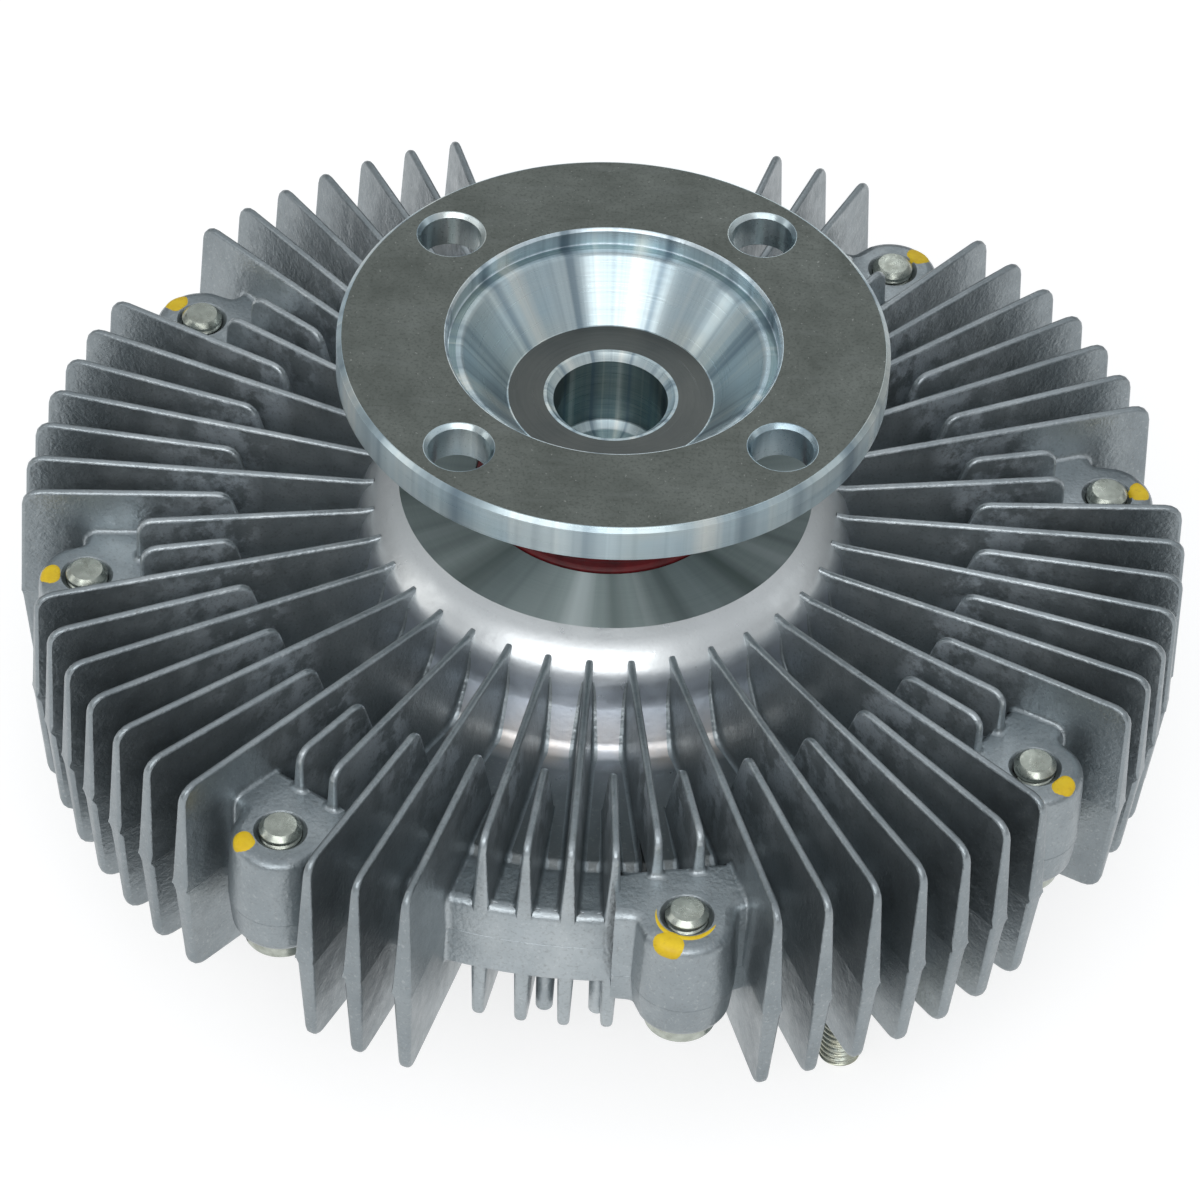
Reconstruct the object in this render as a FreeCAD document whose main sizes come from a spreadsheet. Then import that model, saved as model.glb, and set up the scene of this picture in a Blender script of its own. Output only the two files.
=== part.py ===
import FreeCAD, Part
import math
import os
import Sketcher

# Viscous fan clutch, flange face up. Millimetres.
# The origin is the centre of the drive flange's mating face, and every depth is measured down from that face.
# Azimuth 0 of a piece's own frame passes through its first bolt, and the piece's Placement turns it.

os.makedirs("parts", exist_ok=True)
doc = FreeCAD.newDocument("fan_clutch")
sheet = doc.addObject("Spreadsheet::Sheet", "Sizes")

# Driving dimensions, one row each: name and value
SIZES = {
    # how far a cutting tool runs past the face it cuts
    "cut_over": 0.5,
    # drive flange and shaft
    "flange_dia": 76.6,
    "flange_thick": 5.8,
    "flange_chamfer": 0.6,
    "flange_bolt_circle": 62.0,
    "flange_hole_count": 4,
    "flange_hole_dia": 8.5,
    "flange_hole_chamfer": 0.9,
    "flange_turn": 49.64,
    "spigot_dia": 46.0,
    "spigot_depth": 2.6,
    "dish_mouth_dia": 41.8,
    "dish_floor_dia": 29.0,
    "dish_floor_depth": 10.5,
    "pilot_dia": 16.0,
    "pilot_length": 12.9,
    "pilot_chamfer": 0.95,
    "hub_cone_dia": 52.0,
    "hub_cone_end_depth": 16.0,
    "hub_shoulder_width": 4.3,
    "rotor_seat_dia": 17.0,
    "shaft_head_dia": 19.6,
    "shaft_head_thick": 0.8,
    # bearing
    "bearing_front_depth": 28.6,
    "bearing_bore": 20.0,
    "bearing_dia": 47.0,
    "bearing_width": 14.0,
    "inner_ring_wall": 4.3,
    "outer_ring_wall": 4.1,
    "ball_dia": 7.9,
    "ball_count": 8,
    "ball_race_gap": 0.1,
    "cage_wall": 1.6,
    "cage_ball_gap": 0.15,
    "cage_width": 9.4,
    "hub_seal_depth": 26.4,
    "hub_seal_dia": 39.2,
    "hub_seal_thick": 2.0,
    "rear_seal_recess": 0.4,
    "rear_seal_thick": 1.2,
    "seal_lip_gap": 0.25,
    # castings, shared
    "split_depth": 49.0,
    "rim_dia": 138.0,
    "first_bolt_turn": -79.06,
    "bolt_circle": 147.3,
    "bolt_count": 8,
    "boss_radius": 7.3,
    "boss_root_radius": 65.6,
    "boss_web_reach": 1.6,
    "boss_fin_radius": 66.5,
    "band_fin_radius": 69.2,
    "fins_per_boss": 9,
    "fin_radius": 83.0,
    "fin_base_thick": 2.6,
    "fin_root_inset": 1.5,
    "short_fin_start": 48.5,
    "short_fin_corner": 53.8,
    "fin_corner": 2.4,
    # front housing
    "housing_face_depth": 27.2,
    "housing_face_dia": 58.6,
    "neck_dia": 69.0,
    "neck_top_depth": 30.0,
    "neck_foot_dia": 74.0,
    "neck_foot_rise": 2.4,
    "floor_inner_dia": 79.0,
    "front_floor_depth": 44.0,
    "front_floor_dia": 117.0,
    "front_rim_depth": 42.0,
    "front_rim_slope": 2.6,
    "front_wall": 3.5,
    "bearing_stop_dia": 41.2,
    "boss_top_depth": 37.5,
    "fin_top_depth": 30.3,
    "fin_top_draft": 0.6,
    "fin_top_thick": 1.4,
    # labyrinth
    "land_first_radius": 44.0,
    "land_pitch": 6.0,
    "land_count": 3,
    "land_width": 1.8,
    "land_height": 3.0,
    "land_gap": 0.5,
    # rotor
    "rotor_face_gap": 1.0,
    "rotor_rim_gap": 1.2,
    "rotor_thick": 7.0,
    "rotor_hub_dia": 27.0,
    "rotor_web_dia": 76.0,
    "rotor_web_recess": 1.5,
    "rotor_port_dia": 6.0,
    "rotor_port_circle": 56.0,
    "rotor_port_count": 4,
    # rear cover
    "chamber_dia": 125.0,
    "rear_rim_depth": 55.6,
    "plate_seat_depth": 57.7,
    "rear_wall": 3.0,
    "reservoir_dia": 66.0,
    "reservoir_depth": 5.1,
    "platform_dia": 72.0,
    "platform_flare": 1.5,
    "platform_depth": 66.0,
    "lug_depth": 53.6,
    "bolt_hole_dia": 6.6,
    "fin_tip_depth": 66.5,
    "fin_tip_draft": 1.7,
    "fin_tip_thick": 1.6,
    "valve_boss_dia": 18.0,
    "valve_boss_depth": 67.5,
    "return_slot_width": 3.0,
    "return_slot_depth": 1.4,
    "return_hole_radius": 56.0,
    "nib_dia": 2.4,
    "nib_radius": 64.3,
    "first_nib_turn": -15.0,
    "second_nib_turn": -8.5,
    "head_seat_gap": 0.4,
    # seal ring in the split
    "ring_groove_dia": 128.8,
    "ring_groove_width": 2.2,
    "ring_groove_depth": 1.6,
    "ring_gap": 0.1,
    # divider plate
    "plate_dia": 120.0,
    "plate_thick": 1.0,
    "plate_port_dia": 5.0,
    "plate_port_radius": 26.0,
    "plate_screw_circle": 92.0,
    "plate_screw_count": 4,
    "plate_screw_dia": 3.0,
    "plate_screw_length": 2.4,
    "plate_screw_head_dia": 5.6,
    "plate_screw_head": 0.6,
    # housing bolts and fan studs
    "bolt_dia": 6.0,
    "bolt_end_proud": 1.2,
    "bolt_end_chamfer": 0.9,
    "bolt_head_dia": 14.0,
    "bolt_head_height": 2.0,
    "thread_gap": 0.05,
    "screw_end_gap": 0.1,
    "stud_circle": 135.0,
    "stud_count": 4,
    "stud_dia": 6.0,
    "stud_turn": 22.5,
    "stud_seat_depth": 67.0,
    "stud_length_out": 15.3,
    "stud_length_in": 10.5,
    "stud_chamfer": 0.8,
    "stud_relief_dia": 4.8,
    "stud_relief_length": 1.2,
    "stud_boss_radius": 5.2,
    # valve and bimetal
    "valve_shaft_dia": 8.0,
    "valve_bore_gap": 0.05,
    "valve_nose_dia": 5.0,
    "valve_arm_gap": 0.5,
    "valve_arm_thick": 0.8,
    "valve_arm_width": 9.0,
    "valve_arm_length": 30.0,
    "valve_arm_hub_dia": 13.5,
    "valve_ring_depth": 63.9,
    "valve_ring_width": 2.0,
    "valve_ring_dia": 5.6,
    "clip_thick": 0.8,
    "clip_dia": 12.6,
    "clip_gap": 0.3,
    "clip_mouth_width": 5.4,
    "clip_groove_dia": 6.4,
    "valve_end_depth": 76.0,
    "coil_slot_width": 1.3,
    "coil_top_depth": 69.6,
    "coil_width": 6.0,
    "coil_strip": 1.1,
    "coil_inner_radius": 5.6,
    "coil_pitch": 2.6,
    "coil_turns": 5,
    "bracket_radius": 21.0,
    "bracket_thick": 1.6,
    "bracket_width": 20.0,
    "bracket_foot": 10.3,
    "bracket_tab_width": 10.0,
    "bracket_slot_gap": 0.3,
    "bracket_tab_over": 1.0,
    "bracket_screw_dia": 4.0,
    "bracket_screw_head_dia": 7.4,
    "bracket_screw_head": 2.4,
    "bracket_screw_length": 3.2,
    "bracket_screw_spacing": 12.0,
    "bracket_screw_reach": 5.4,
}

for row, (name, number) in enumerate(SIZES.items(), start=1):
    sheet.set("A%d" % row, name)
    sheet.set("B%d" % row, "%g" % number)
    sheet.setAlias("B%d" % row, name)
doc.recompute()


class Size:
    """A length that knows its number and its spreadsheet formula, so that both always agree."""

    def __init__(self, number, formula):
        self.number = float(number)
        self.formula = formula

    def joined(self, other, sign, number):
        other_formula = other.formula if isinstance(other, Size) else "%g" % other
        return Size(number, "(%s %s %s)" % (self.formula, sign, other_formula))

    def __add__(self, other):
        return self.joined(other, "+", self.number + plain(other))

    def __sub__(self, other):
        return self.joined(other, "-", self.number - plain(other))

    def __mul__(self, other):
        return self.joined(other, "*", self.number * plain(other))

    def __truediv__(self, other):
        return self.joined(other, "/", self.number / plain(other))

    def __neg__(self):
        return Size(-self.number, "(0 - %s)" % self.formula)


def plain(value):
    return value.number if isinstance(value, Size) else float(value)


def size(name):
    return Size(sheet.get(name), "Sizes." + name)


ZERO = Size(0, "0")
Z_AXIS = FreeCAD.Vector(0, 0, 1)
ORIGIN = FreeCAD.Vector(0, 0, 0)


def origin_plane(body, role):
    for feature in body.Origin.OriginFeatures:
        if feature.Role == role:
            return feature
    raise ValueError(role)


def new_body(name):
    body = doc.addObject("PartDesign::Body", name)
    body.Label = name
    return body


def new_sketch(body, name, role, lift=None):
    """A sketch on one of the body's own origin planes, lifted along its normal by a Size."""
    sketch = body.newObject("Sketcher::SketchObject", name)
    sketch.AttachmentSupport = [(origin_plane(body, role), "")]
    sketch.MapMode = "FlatFace"
    if lift is not None:
        sketch.AttachmentOffset = FreeCAD.Placement(FreeCAD.Vector(0, 0, lift.number), FreeCAD.Rotation())
        sketch.setExpression(".AttachmentOffset.Base.z", lift.formula)
    return sketch


def pin_point(sketch, geometry, corner, x, y):
    """Fix a sketch point by two dimensions from the origin."""
    for value, kind, axis in ((x, "DistanceX", -2), (y, "DistanceY", -1)):
        if value.formula == "0":
            sketch.addConstraint(Sketcher.Constraint("PointOnObject", geometry, corner, axis))
            continue
        index = sketch.addConstraint(Sketcher.Constraint(kind, -1, 1, geometry, corner, value.number))
        sketch.setExpression("Constraints[%d]" % index, value.formula)


def draw_outline(sketch, points):
    """A closed outline of straight lines through the points, each point dimensioned."""
    count = len(points)
    first = sketch.GeometryCount
    vectors = [FreeCAD.Vector(x.number, y.number, 0) for x, y in points]
    for index in range(count):
        sketch.addGeometry(Part.LineSegment(vectors[index], vectors[(index + 1) % count]))
    for index in range(count):
        following = first + (index + 1) % count
        sketch.addConstraint(Sketcher.Constraint("Coincident", first + index, 2, following, 1))
    for index, (x, y) in enumerate(points):
        pin_point(sketch, first + index, 1, x, y)


def draw_circle(sketch, x, y, diameter):
    centre = FreeCAD.Vector(x.number, y.number, 0)
    index = sketch.addGeometry(Part.Circle(centre, Z_AXIS, diameter.number / 2))
    pin_point(sketch, index, 3, x, y)
    dimension = sketch.addConstraint(Sketcher.Constraint("Diameter", index, diameter.number))
    sketch.setExpression("Constraints[%d]" % dimension, diameter.formula)


def turned(body, name, points, kind="PartDesign::Revolution"):
    """Revolve an outline of radius and height about the body's Z axis, or cut it with a Groove."""
    sketch = new_sketch(body, name + "_outline", "XZ_Plane")
    draw_outline(sketch, points)
    feature = body.newObject(kind, name)
    feature.Profile = sketch
    feature.ReferenceAxis = (sketch, ["V_Axis"])
    feature.Angle = 360
    feature.Refine = False
    return feature


def grooved(body, name, points):
    return turned(body, name, points, "PartDesign::Groove")


def drilled(body, name, x, y, diameter, top, depth):
    """A round pocket down from the height top, through the length depth."""
    sketch = new_sketch(body, name + "_circle", "XY_Plane", top)
    draw_circle(sketch, x, y, diameter)
    pocket = body.newObject("PartDesign::Pocket", name)
    pocket.Profile = sketch
    pocket.Type = "Length"
    pocket.Length = depth.number
    pocket.setExpression("Length", depth.formula)
    pocket.Refine = False
    return pocket


def raised(body, name, draw, base, height):
    """A pad of what draw puts in the sketch, up from the height base."""
    sketch = new_sketch(body, name + "_sketch", "XY_Plane", base)
    draw(sketch)
    pad = body.newObject("PartDesign::Pad", name)
    pad.Profile = sketch
    pad.Length = height.number
    pad.setExpression("Length", height.formula)
    pad.Refine = False
    return pad


def repeated(body, name, features, count):
    """Repeat features round the body's Z axis."""
    pattern = body.newObject("PartDesign::PolarPattern", name)
    pattern.Originals = features
    pattern.Axis = (origin_plane(body, "Z_Axis"), [""])
    pattern.Angle = 360
    pattern.Occurrences = int(count.number)
    pattern.setExpression("Occurrences", count.formula)
    pattern.Refine = False
    body.Tip = pattern
    return pattern


def turn_placement(degrees):
    return FreeCAD.Placement(ORIGIN, FreeCAD.Rotation(Z_AXIS, degrees))


def shape_feature(name, shape, degrees=0.0):
    feature = doc.addObject("Part::Feature", name)
    feature.Label = name
    feature.Shape = shape
    feature.Placement = turn_placement(degrees)
    return feature


def around(shape, count, first=0.0):
    """Copies of a shape evenly round the Z axis."""
    copies = []
    for index in range(int(count)):
        copy = shape.copy()
        copy.rotate(ORIGIN, Z_AXIS, first + 360.0 * index / count)
        copies.append(copy)
    return copies


def cylinder(radius, top, bottom, x=0.0, y=0.0):
    """A plain cylinder between two heights."""
    return Part.makeCylinder(radius, top - bottom, FreeCAD.Vector(x, y, bottom))


NODES = []


def keep(feature):
    NODES.append(feature)
    return feature


# Heights and radii worked out from the driving dimensions
flange_radius = size("flange_dia") / 2
bearing_front = -size("bearing_front_depth")
bearing_back = bearing_front - size("bearing_width")
bearing_middle = bearing_front - size("bearing_width") / 2
inner_ring_radius = size("bearing_bore") / 2 + size("inner_ring_wall")
outer_ring_inner_radius = size("bearing_dia") / 2 - size("outer_ring_wall")
split = -size("split_depth")
chamber_front = -(size("front_floor_depth") + size("front_wall"))
plate_seat = -size("plate_seat_depth")
rotor_front = chamber_front - size("rotor_face_gap")
rotor_back = rotor_front - size("rotor_thick")
platform = -size("platform_depth")
rim_radius = size("rim_dia") / 2
chamber_radius = size("chamber_dia") / 2
shaft_end = rotor_back + size("rotor_web_recess") - size("shaft_head_thick")

OVER = size("cut_over")
FIRST_BOLT_TURN = size("first_bolt_turn").number


# Drive flange and shaft: one turned forging, with a dished face, a pilot bore and a stepped tail
def build_drive_shaft():
    body = new_body("drive_flange_shaft")
    hub_radius = size("bearing_bore") / 2 + size("hub_shoulder_width")
    bearing_seat = size("bearing_bore") / 2
    rotor_seat = size("rotor_seat_dia") / 2
    head_radius = size("shaft_head_dia") / 2
    pilot_radius = size("pilot_dia") / 2
    pilot_mouth = pilot_radius + size("pilot_chamfer")
    dish_floor = -size("dish_floor_depth")
    pilot_floor = dish_floor - size("pilot_length")
    head_top = shaft_end + size("shaft_head_thick")
    turned(body, "flange_forging", [
        (ZERO, pilot_floor),
        (pilot_radius, pilot_floor),
        (pilot_radius, dish_floor - size("pilot_chamfer")),
        (pilot_mouth, dish_floor),
        (size("dish_floor_dia") / 2, dish_floor),
        (size("dish_mouth_dia") / 2, -size("spigot_depth")),
        (size("spigot_dia") / 2, -size("spigot_depth")),
        (size("spigot_dia") / 2, ZERO),
        (flange_radius - size("flange_chamfer"), ZERO),
        (flange_radius, -size("flange_chamfer")),
        (flange_radius, size("flange_chamfer") - size("flange_thick")),
        (flange_radius - size("flange_chamfer"), -size("flange_thick")),
        (size("hub_cone_dia") / 2, -size("flange_thick")),
        (hub_radius, -size("hub_cone_end_depth")),
        (hub_radius, bearing_front),
        (bearing_seat, bearing_front),
        (bearing_seat, bearing_back),
        (rotor_seat, bearing_back),
        (rotor_seat, head_top),
        (head_radius, head_top),
        (head_radius, shaft_end),
        (ZERO, shaft_end),
    ])
    bolt_x = size("flange_bolt_circle") / 2
    through = size("flange_thick") + OVER
    hole = drilled(body, "bolt_hole", bolt_x, ZERO, size("flange_hole_dia"), ZERO, through)
    mouth = drilled(
        body, "bolt_hole_mouth", bolt_x, ZERO, size("flange_hole_dia") + size("flange_hole_chamfer") * 2,
        ZERO, size("flange_hole_chamfer"),
    )
    mouth.TaperAngle = -45.0
    repeated(body, "bolt_holes", [hole, mouth], size("flange_hole_count"))
    body.Placement = turn_placement(size("flange_turn").number)
    return keep(body)


# Ball bearing: two grooved rings, a cage with balls and a seal behind it, and the hub's own seal in front
def bearing_ring(name, inner, outer):
    """A bearing ring: a turned blank with the ball groove cut out of it."""
    blank = new_body(name + "_blank")
    turned(blank, name + "_turned", [
        (inner, bearing_back),
        (outer, bearing_back),
        (outer, bearing_front),
        (inner, bearing_front),
    ])
    doc.recompute()
    groove = doc.addObject("Part::Torus", name + "_groove")
    groove.Placement = FreeCAD.Placement(FreeCAD.Vector(0, 0, bearing_middle.number), FreeCAD.Rotation())
    groove.setExpression("Radius1", "(Sizes.bearing_bore + Sizes.bearing_dia) / 4")
    groove.setExpression("Radius2", "Sizes.ball_dia / 2 + Sizes.ball_race_gap")
    groove.setExpression(".Placement.Base.z", bearing_middle.formula)
    ring = doc.addObject("Part::Cut", name)
    ring.Label = name
    ring.Base = blank
    ring.Tool = groove
    return keep(ring)


def seal_ring(name, outer, top, bottom):
    """A rubber ring that runs close to the hub or the inner ring."""
    lip_radius = inner_ring_radius + size("seal_lip_gap")
    seal = new_body(name)
    turned(seal, name + "_ring", [(lip_radius, bottom), (outer, bottom), (outer, top), (lip_radius, top)])
    keep(seal)


def build_bearing():
    bearing_ring("bearing_inner_ring", size("bearing_bore") / 2, inner_ring_radius)
    bearing_ring("bearing_outer_ring", outer_ring_inner_radius, size("bearing_dia") / 2)

    pitch = (size("bearing_bore").number + size("bearing_dia").number) / 4
    count = size("ball_count").number
    ball_radius = size("ball_dia").number / 2
    ball = Part.makeSphere(ball_radius, FreeCAD.Vector(pitch, 0, bearing_middle.number))
    keep(shape_feature("bearing_balls", Part.makeCompound(around(ball, count))))

    half_wall = size("cage_wall").number / 2
    half_width = size("cage_width").number / 2
    top = bearing_middle.number + half_width
    bottom = bearing_middle.number - half_width
    cage = cylinder(pitch + half_wall, top, bottom).cut(cylinder(pitch - half_wall, top, bottom))
    pocket = Part.makeCylinder(
        ball_radius + size("cage_ball_gap").number, 4 * ball_radius,
        FreeCAD.Vector(pitch - 2 * ball_radius, 0, bearing_middle.number), FreeCAD.Vector(1, 0, 0),
    )
    keep(shape_feature("bearing_cage", cage.cut(around(pocket, count))))

    hub_seal_face = -size("hub_seal_depth")
    rear_seal_back = bearing_back + size("rear_seal_recess")
    seal_ring("hub_seal", size("hub_seal_dia") / 2, hub_seal_face, hub_seal_face - size("hub_seal_thick"))
    rear_seal_front = rear_seal_back + size("rear_seal_thick")
    seal_ring("bearing_rear_seal", outer_ring_inner_radius, rear_seal_front, rear_seal_back)


# Fins: each is a flat-sided plate that thins towards its free edge, with a corner cut round in two steps
def fin_plate(outline, height, tip_thick, direction):
    """A drafted plate standing on the split plane, from an outline of radius and distance from that plane."""
    base_half = size("fin_base_thick").number / 2
    tip_half = tip_thick / 2

    def point(radius, reach, side):
        half = base_half + (tip_half - base_half) * reach / height
        return FreeCAD.Vector(radius, side * half, split.number + direction * reach)

    ordered = outline[::-direction]
    left = [point(radius, reach, 1) for radius, reach in ordered]
    right = [point(radius, reach, -1) for radius, reach in ordered]
    faces = [Part.Face(Part.makePolygon(left + left[:1])), Part.Face(Part.makePolygon(right + right[:1]))]
    for index in range(len(outline)):
        following = (index + 1) % len(outline)
        corners = [left[index], left[following], right[following], right[index], left[index]]
        faces.append(Part.Face(Part.makePolygon(corners)))
    return Part.makeSolid(Part.makeShell(faces))


def fin_outline(start_radius, base_radius, tip_radius, height, is_short):
    """Radius and distance from the split plane, round the plate."""
    corner = min(size("fin_corner").number, height / 4)
    step = corner * (1 - math.sqrt(0.5))
    outline = [
        (start_radius, 0.0),
        (base_radius, 0.0),
        (tip_radius, height - corner),
        (tip_radius - step, height - step),
        (tip_radius - corner, height),
    ]
    if is_short:
        inner_corner = size("short_fin_corner").number
        lean = (inner_corner - start_radius) / 2
        outline += [(inner_corner, height), (inner_corner - lean / 2 - step, height - step)]
        outline += [(inner_corner - lean - step, height - corner)]
    else:
        outline += [(start_radius, height)]
    return outline


def fin_set(height, draft, tip_thick, direction, root_radius):
    """Every fin of one casting. Those beside a boss stop short of it, and four stop at the bare band."""
    bolt_count = size("bolt_count").number
    per_boss = size("fins_per_boss").number
    boss_pitch = 360.0 / bolt_count
    fin_pitch = boss_pitch / per_boss
    band_start = -per_boss / 2 * fin_pitch
    fins = []
    for index in range(int(bolt_count * per_boss)):
        angle = fin_pitch * (index - 0.5)
        from_boss = (angle + boss_pitch / 2) % boss_pitch - boss_pitch / 2
        from_band = (angle + 180.0) % 180.0 - 180.0
        is_short = index % 2 == 1
        reach = size("fin_radius").number
        shrink = draft
        if abs(from_boss) < fin_pitch:
            reach = size("boss_fin_radius").number
            shrink = 0.0
        elif band_start - fin_pitch / 2 < from_band < 0:
            reach = size("band_fin_radius").number
            shrink = 0.0
        start = size("short_fin_start").number if is_short else root_radius
        outline = fin_outline(start, reach, reach - shrink, height, is_short)
        plate = fin_plate(outline, height, tip_thick, direction)
        plate.rotate(ORIGIN, Z_AXIS, angle)
        fins.append(plate)
    return fins


def boss_block(top, bottom):
    """A bolt boss: round outside, with a web on each side that joins it to the next fin and the rim."""
    centre = size("bolt_circle").number / 2
    root = size("boss_root_radius").number
    web_end = centre + size("boss_web_reach").number
    fin_pitch = 360.0 / (size("bolt_count").number * size("fins_per_boss").number)
    next_fin = math.tan(math.radians(1.5 * fin_pitch))
    corners = []
    for radius, side in ((root, -1), (web_end, -1), (web_end, 1), (root, 1), (root, -1)):
        corners.append(FreeCAD.Vector(radius, side * radius * next_fin, bottom))
    web = Part.Face(Part.makePolygon(corners)).extrude(FreeCAD.Vector(0, 0, top - bottom))
    return web.fuse(cylinder(size("boss_radius").number, top, bottom, centre))


def cast_body(name, core, cavity, additions, cuts):
    """One casting: its turned core, fins and bosses fused, then its bores and chamber machined out."""
    shapes = [core]
    for group, solids in additions.items():
        shapes.append(shape_feature("%s_%s" % (name, group), Part.makeCompound(solids)))
    whole = doc.addObject("Part::MultiFuse", name + "_raw")
    whole.Shapes = shapes
    whole.Refine = False
    tools = [cavity]
    for group, solids in cuts.items():
        tools.append(shape_feature("%s_%s" % (name, group), Part.makeCompound(solids)))
    machined = doc.addObject("Part::MultiFuse", name + "_tools")
    machined.Shapes = tools
    machined.Refine = False
    casting = doc.addObject("Part::Cut", name)
    casting.Label = name
    casting.Base = whole
    casting.Tool = machined
    casting.Refine = True
    casting.Placement = turn_placement(FIRST_BOLT_TURN)
    return keep(casting)


def build_front_housing():
    core = new_body("front_core")
    turned(core, "front_core_turned", [
        (ZERO, split),
        (rim_radius, split),
        (rim_radius, -size("front_rim_depth")),
        (size("front_floor_dia") / 2 + size("front_rim_slope"), -size("front_rim_depth")),
        (size("front_floor_dia") / 2, -size("front_floor_depth")),
        (size("floor_inner_dia") / 2, -size("front_floor_depth")),
        (size("neck_foot_dia") / 2, size("neck_foot_rise") - size("front_floor_depth")),
        (size("neck_dia") / 2, -size("neck_top_depth")),
        (size("housing_face_dia") / 2, -size("housing_face_depth")),
        (ZERO, -size("housing_face_depth")),
    ])
    cavity = new_body("front_cavity")
    above = OVER - size("housing_face_depth")
    below = split - OVER
    outline = [
        (ZERO, below),
        (chamber_radius, below),
        (chamber_radius, chamber_front),
    ]
    for index in reversed(range(int(size("land_count").number))):
        land_inner = size("land_first_radius") + size("land_pitch") * index
        land_outer = land_inner + size("land_width")
        land_end = chamber_front - size("land_height")
        outline += [
            (land_outer, chamber_front),
            (land_outer, land_end),
            (land_inner, land_end),
            (land_inner, chamber_front),
        ]
    outline += [
        (size("bearing_stop_dia") / 2, chamber_front),
        (size("bearing_stop_dia") / 2, bearing_back),
        (size("bearing_dia") / 2, bearing_back),
        (size("bearing_dia") / 2, bearing_front),
        (size("hub_seal_dia") / 2, bearing_front),
        (size("hub_seal_dia") / 2, above),
        (ZERO, above),
    ]
    turned(cavity, "front_cavity_turned", outline)

    height = size("split_depth").number - size("fin_top_depth").number
    fins = fin_set(
        height, size("fin_top_draft").number, size("fin_top_thick").number, 1,
        (size("neck_dia") / 2 - size("fin_root_inset")).number,
    )
    boss_top = -size("boss_top_depth").number
    bosses = around(boss_block(boss_top, split.number), size("bolt_count").number)
    hole = cylinder(
        size("bolt_dia").number / 2, boss_top + OVER.number, split.number - OVER.number,
        size("bolt_circle").number / 2,
    )
    additions = {"fins": fins, "bosses": bosses}
    cast_body("front_housing", core, cavity, additions, {"holes": around(hole, size("bolt_count").number)})


def build_rear_cover():
    web_back = plate_seat - size("rear_wall")
    core = new_body("rear_core")
    turned(core, "rear_core_turned", [
        (ZERO, split),
        (ZERO, -size("valve_boss_depth")),
        (size("valve_boss_dia") / 2, -size("valve_boss_depth")),
        (size("valve_boss_dia") / 2, platform),
        (size("platform_dia") / 2, platform),
        (size("platform_dia") / 2 + size("platform_flare"), web_back),
        (chamber_radius, web_back),
        (rim_radius, -size("rear_rim_depth")),
        (rim_radius, split),
    ])
    cavity = new_body("rear_cavity")
    groove_inner = size("ring_groove_dia") / 2
    groove_outer = groove_inner + size("ring_groove_width")
    groove_floor = split - size("ring_groove_depth")
    valve_bore = size("valve_shaft_dia") / 2 + size("valve_bore_gap")
    reservoir_floor = plate_seat - size("reservoir_depth")
    turned(cavity, "rear_cavity_turned", [
        (ZERO, split + OVER * 2),
        (groove_outer, split + OVER * 2),
        (groove_outer, groove_floor),
        (groove_inner, groove_floor),
        (groove_inner, split + OVER),
        (chamber_radius, split + OVER),
        (chamber_radius, plate_seat),
        (size("reservoir_dia") / 2, plate_seat),
        (size("reservoir_dia") / 2, reservoir_floor),
        (valve_bore, reservoir_floor),
        (valve_bore, -size("valve_boss_depth") - OVER),
        (ZERO, -size("valve_boss_depth") - OVER),
    ])

    height = size("fin_tip_depth").number - size("split_depth").number
    fins = fin_set(
        height, size("fin_tip_draft").number, size("fin_tip_thick").number, -1,
        (size("platform_dia") / 2 - size("fin_root_inset")).number,
    )
    bolt_count = size("bolt_count").number
    lugs = around(boss_block(split.number, -size("lug_depth").number), bolt_count)
    stud_radius = size("stud_circle").number / 2
    seat = -size("stud_seat_depth").number
    stud_turn = size("stud_turn").number
    stud_count = size("stud_count").number
    stud_boss = cylinder(size("stud_boss_radius").number, split.number, seat, stud_radius)
    tip = -size("fin_tip_depth").number
    nib = cylinder(size("nib_dia").number / 2, plate_seat.number, tip, size("nib_radius").number)
    nibs = around(nib, 2, size("first_nib_turn").number) + around(nib, 2, size("second_nib_turn").number)

    over = OVER.number
    lug_seat = -size("lug_depth").number
    bolt_x = size("bolt_circle").number / 2
    bolt_hole = cylinder(size("bolt_hole_dia").number / 2, split.number + over, lug_seat - over, bolt_x)
    head_seat_radius = size("bolt_head_dia").number / 2 + size("head_seat_gap").number
    bolt_hole = bolt_hole.fuse(cylinder(head_seat_radius, lug_seat, tip - over, bolt_x))
    stud_hole = cylinder(
        size("stud_dia").number / 2, seat + size("stud_length_in").number, seat - over, stud_radius,
    )
    slot_width = size("return_slot_width").number
    slot_end = size("return_hole_radius").number + slot_width
    slot = Part.makeBox(
        slot_end, slot_width, size("return_slot_depth").number + over,
        FreeCAD.Vector(0, -slot_width / 2, plate_seat.number - size("return_slot_depth").number),
    )
    screw_hole = cylinder(
        size("plate_screw_dia").number / 2, plate_seat.number + over,
        plate_seat.number - size("plate_screw_length").number, size("plate_screw_circle").number / 2,
    )
    bracket_holes = []
    for side in (-0.5, 0.5):
        bracket_holes.append(cylinder(
            size("bracket_screw_dia").number / 2, platform.number + size("bracket_screw_length").number,
            platform.number - over, bracket_screw_x(), side * size("bracket_screw_spacing").number,
        ))
    cuts = {
        "bolt_holes": around(bolt_hole, bolt_count),
        "stud_holes": around(stud_hole, stud_count, stud_turn),
        "screw_holes": around(screw_hole, size("plate_screw_count").number, stud_turn) + bracket_holes,
        "return_slot": [slot],
    }
    additions = {
        "fins": fins,
        "lugs": lugs,
        "stud_bosses": around(stud_boss, stud_count, stud_turn),
        "nibs": nibs,
    }
    cast_body("rear_cover", core, cavity, additions, cuts)


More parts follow.
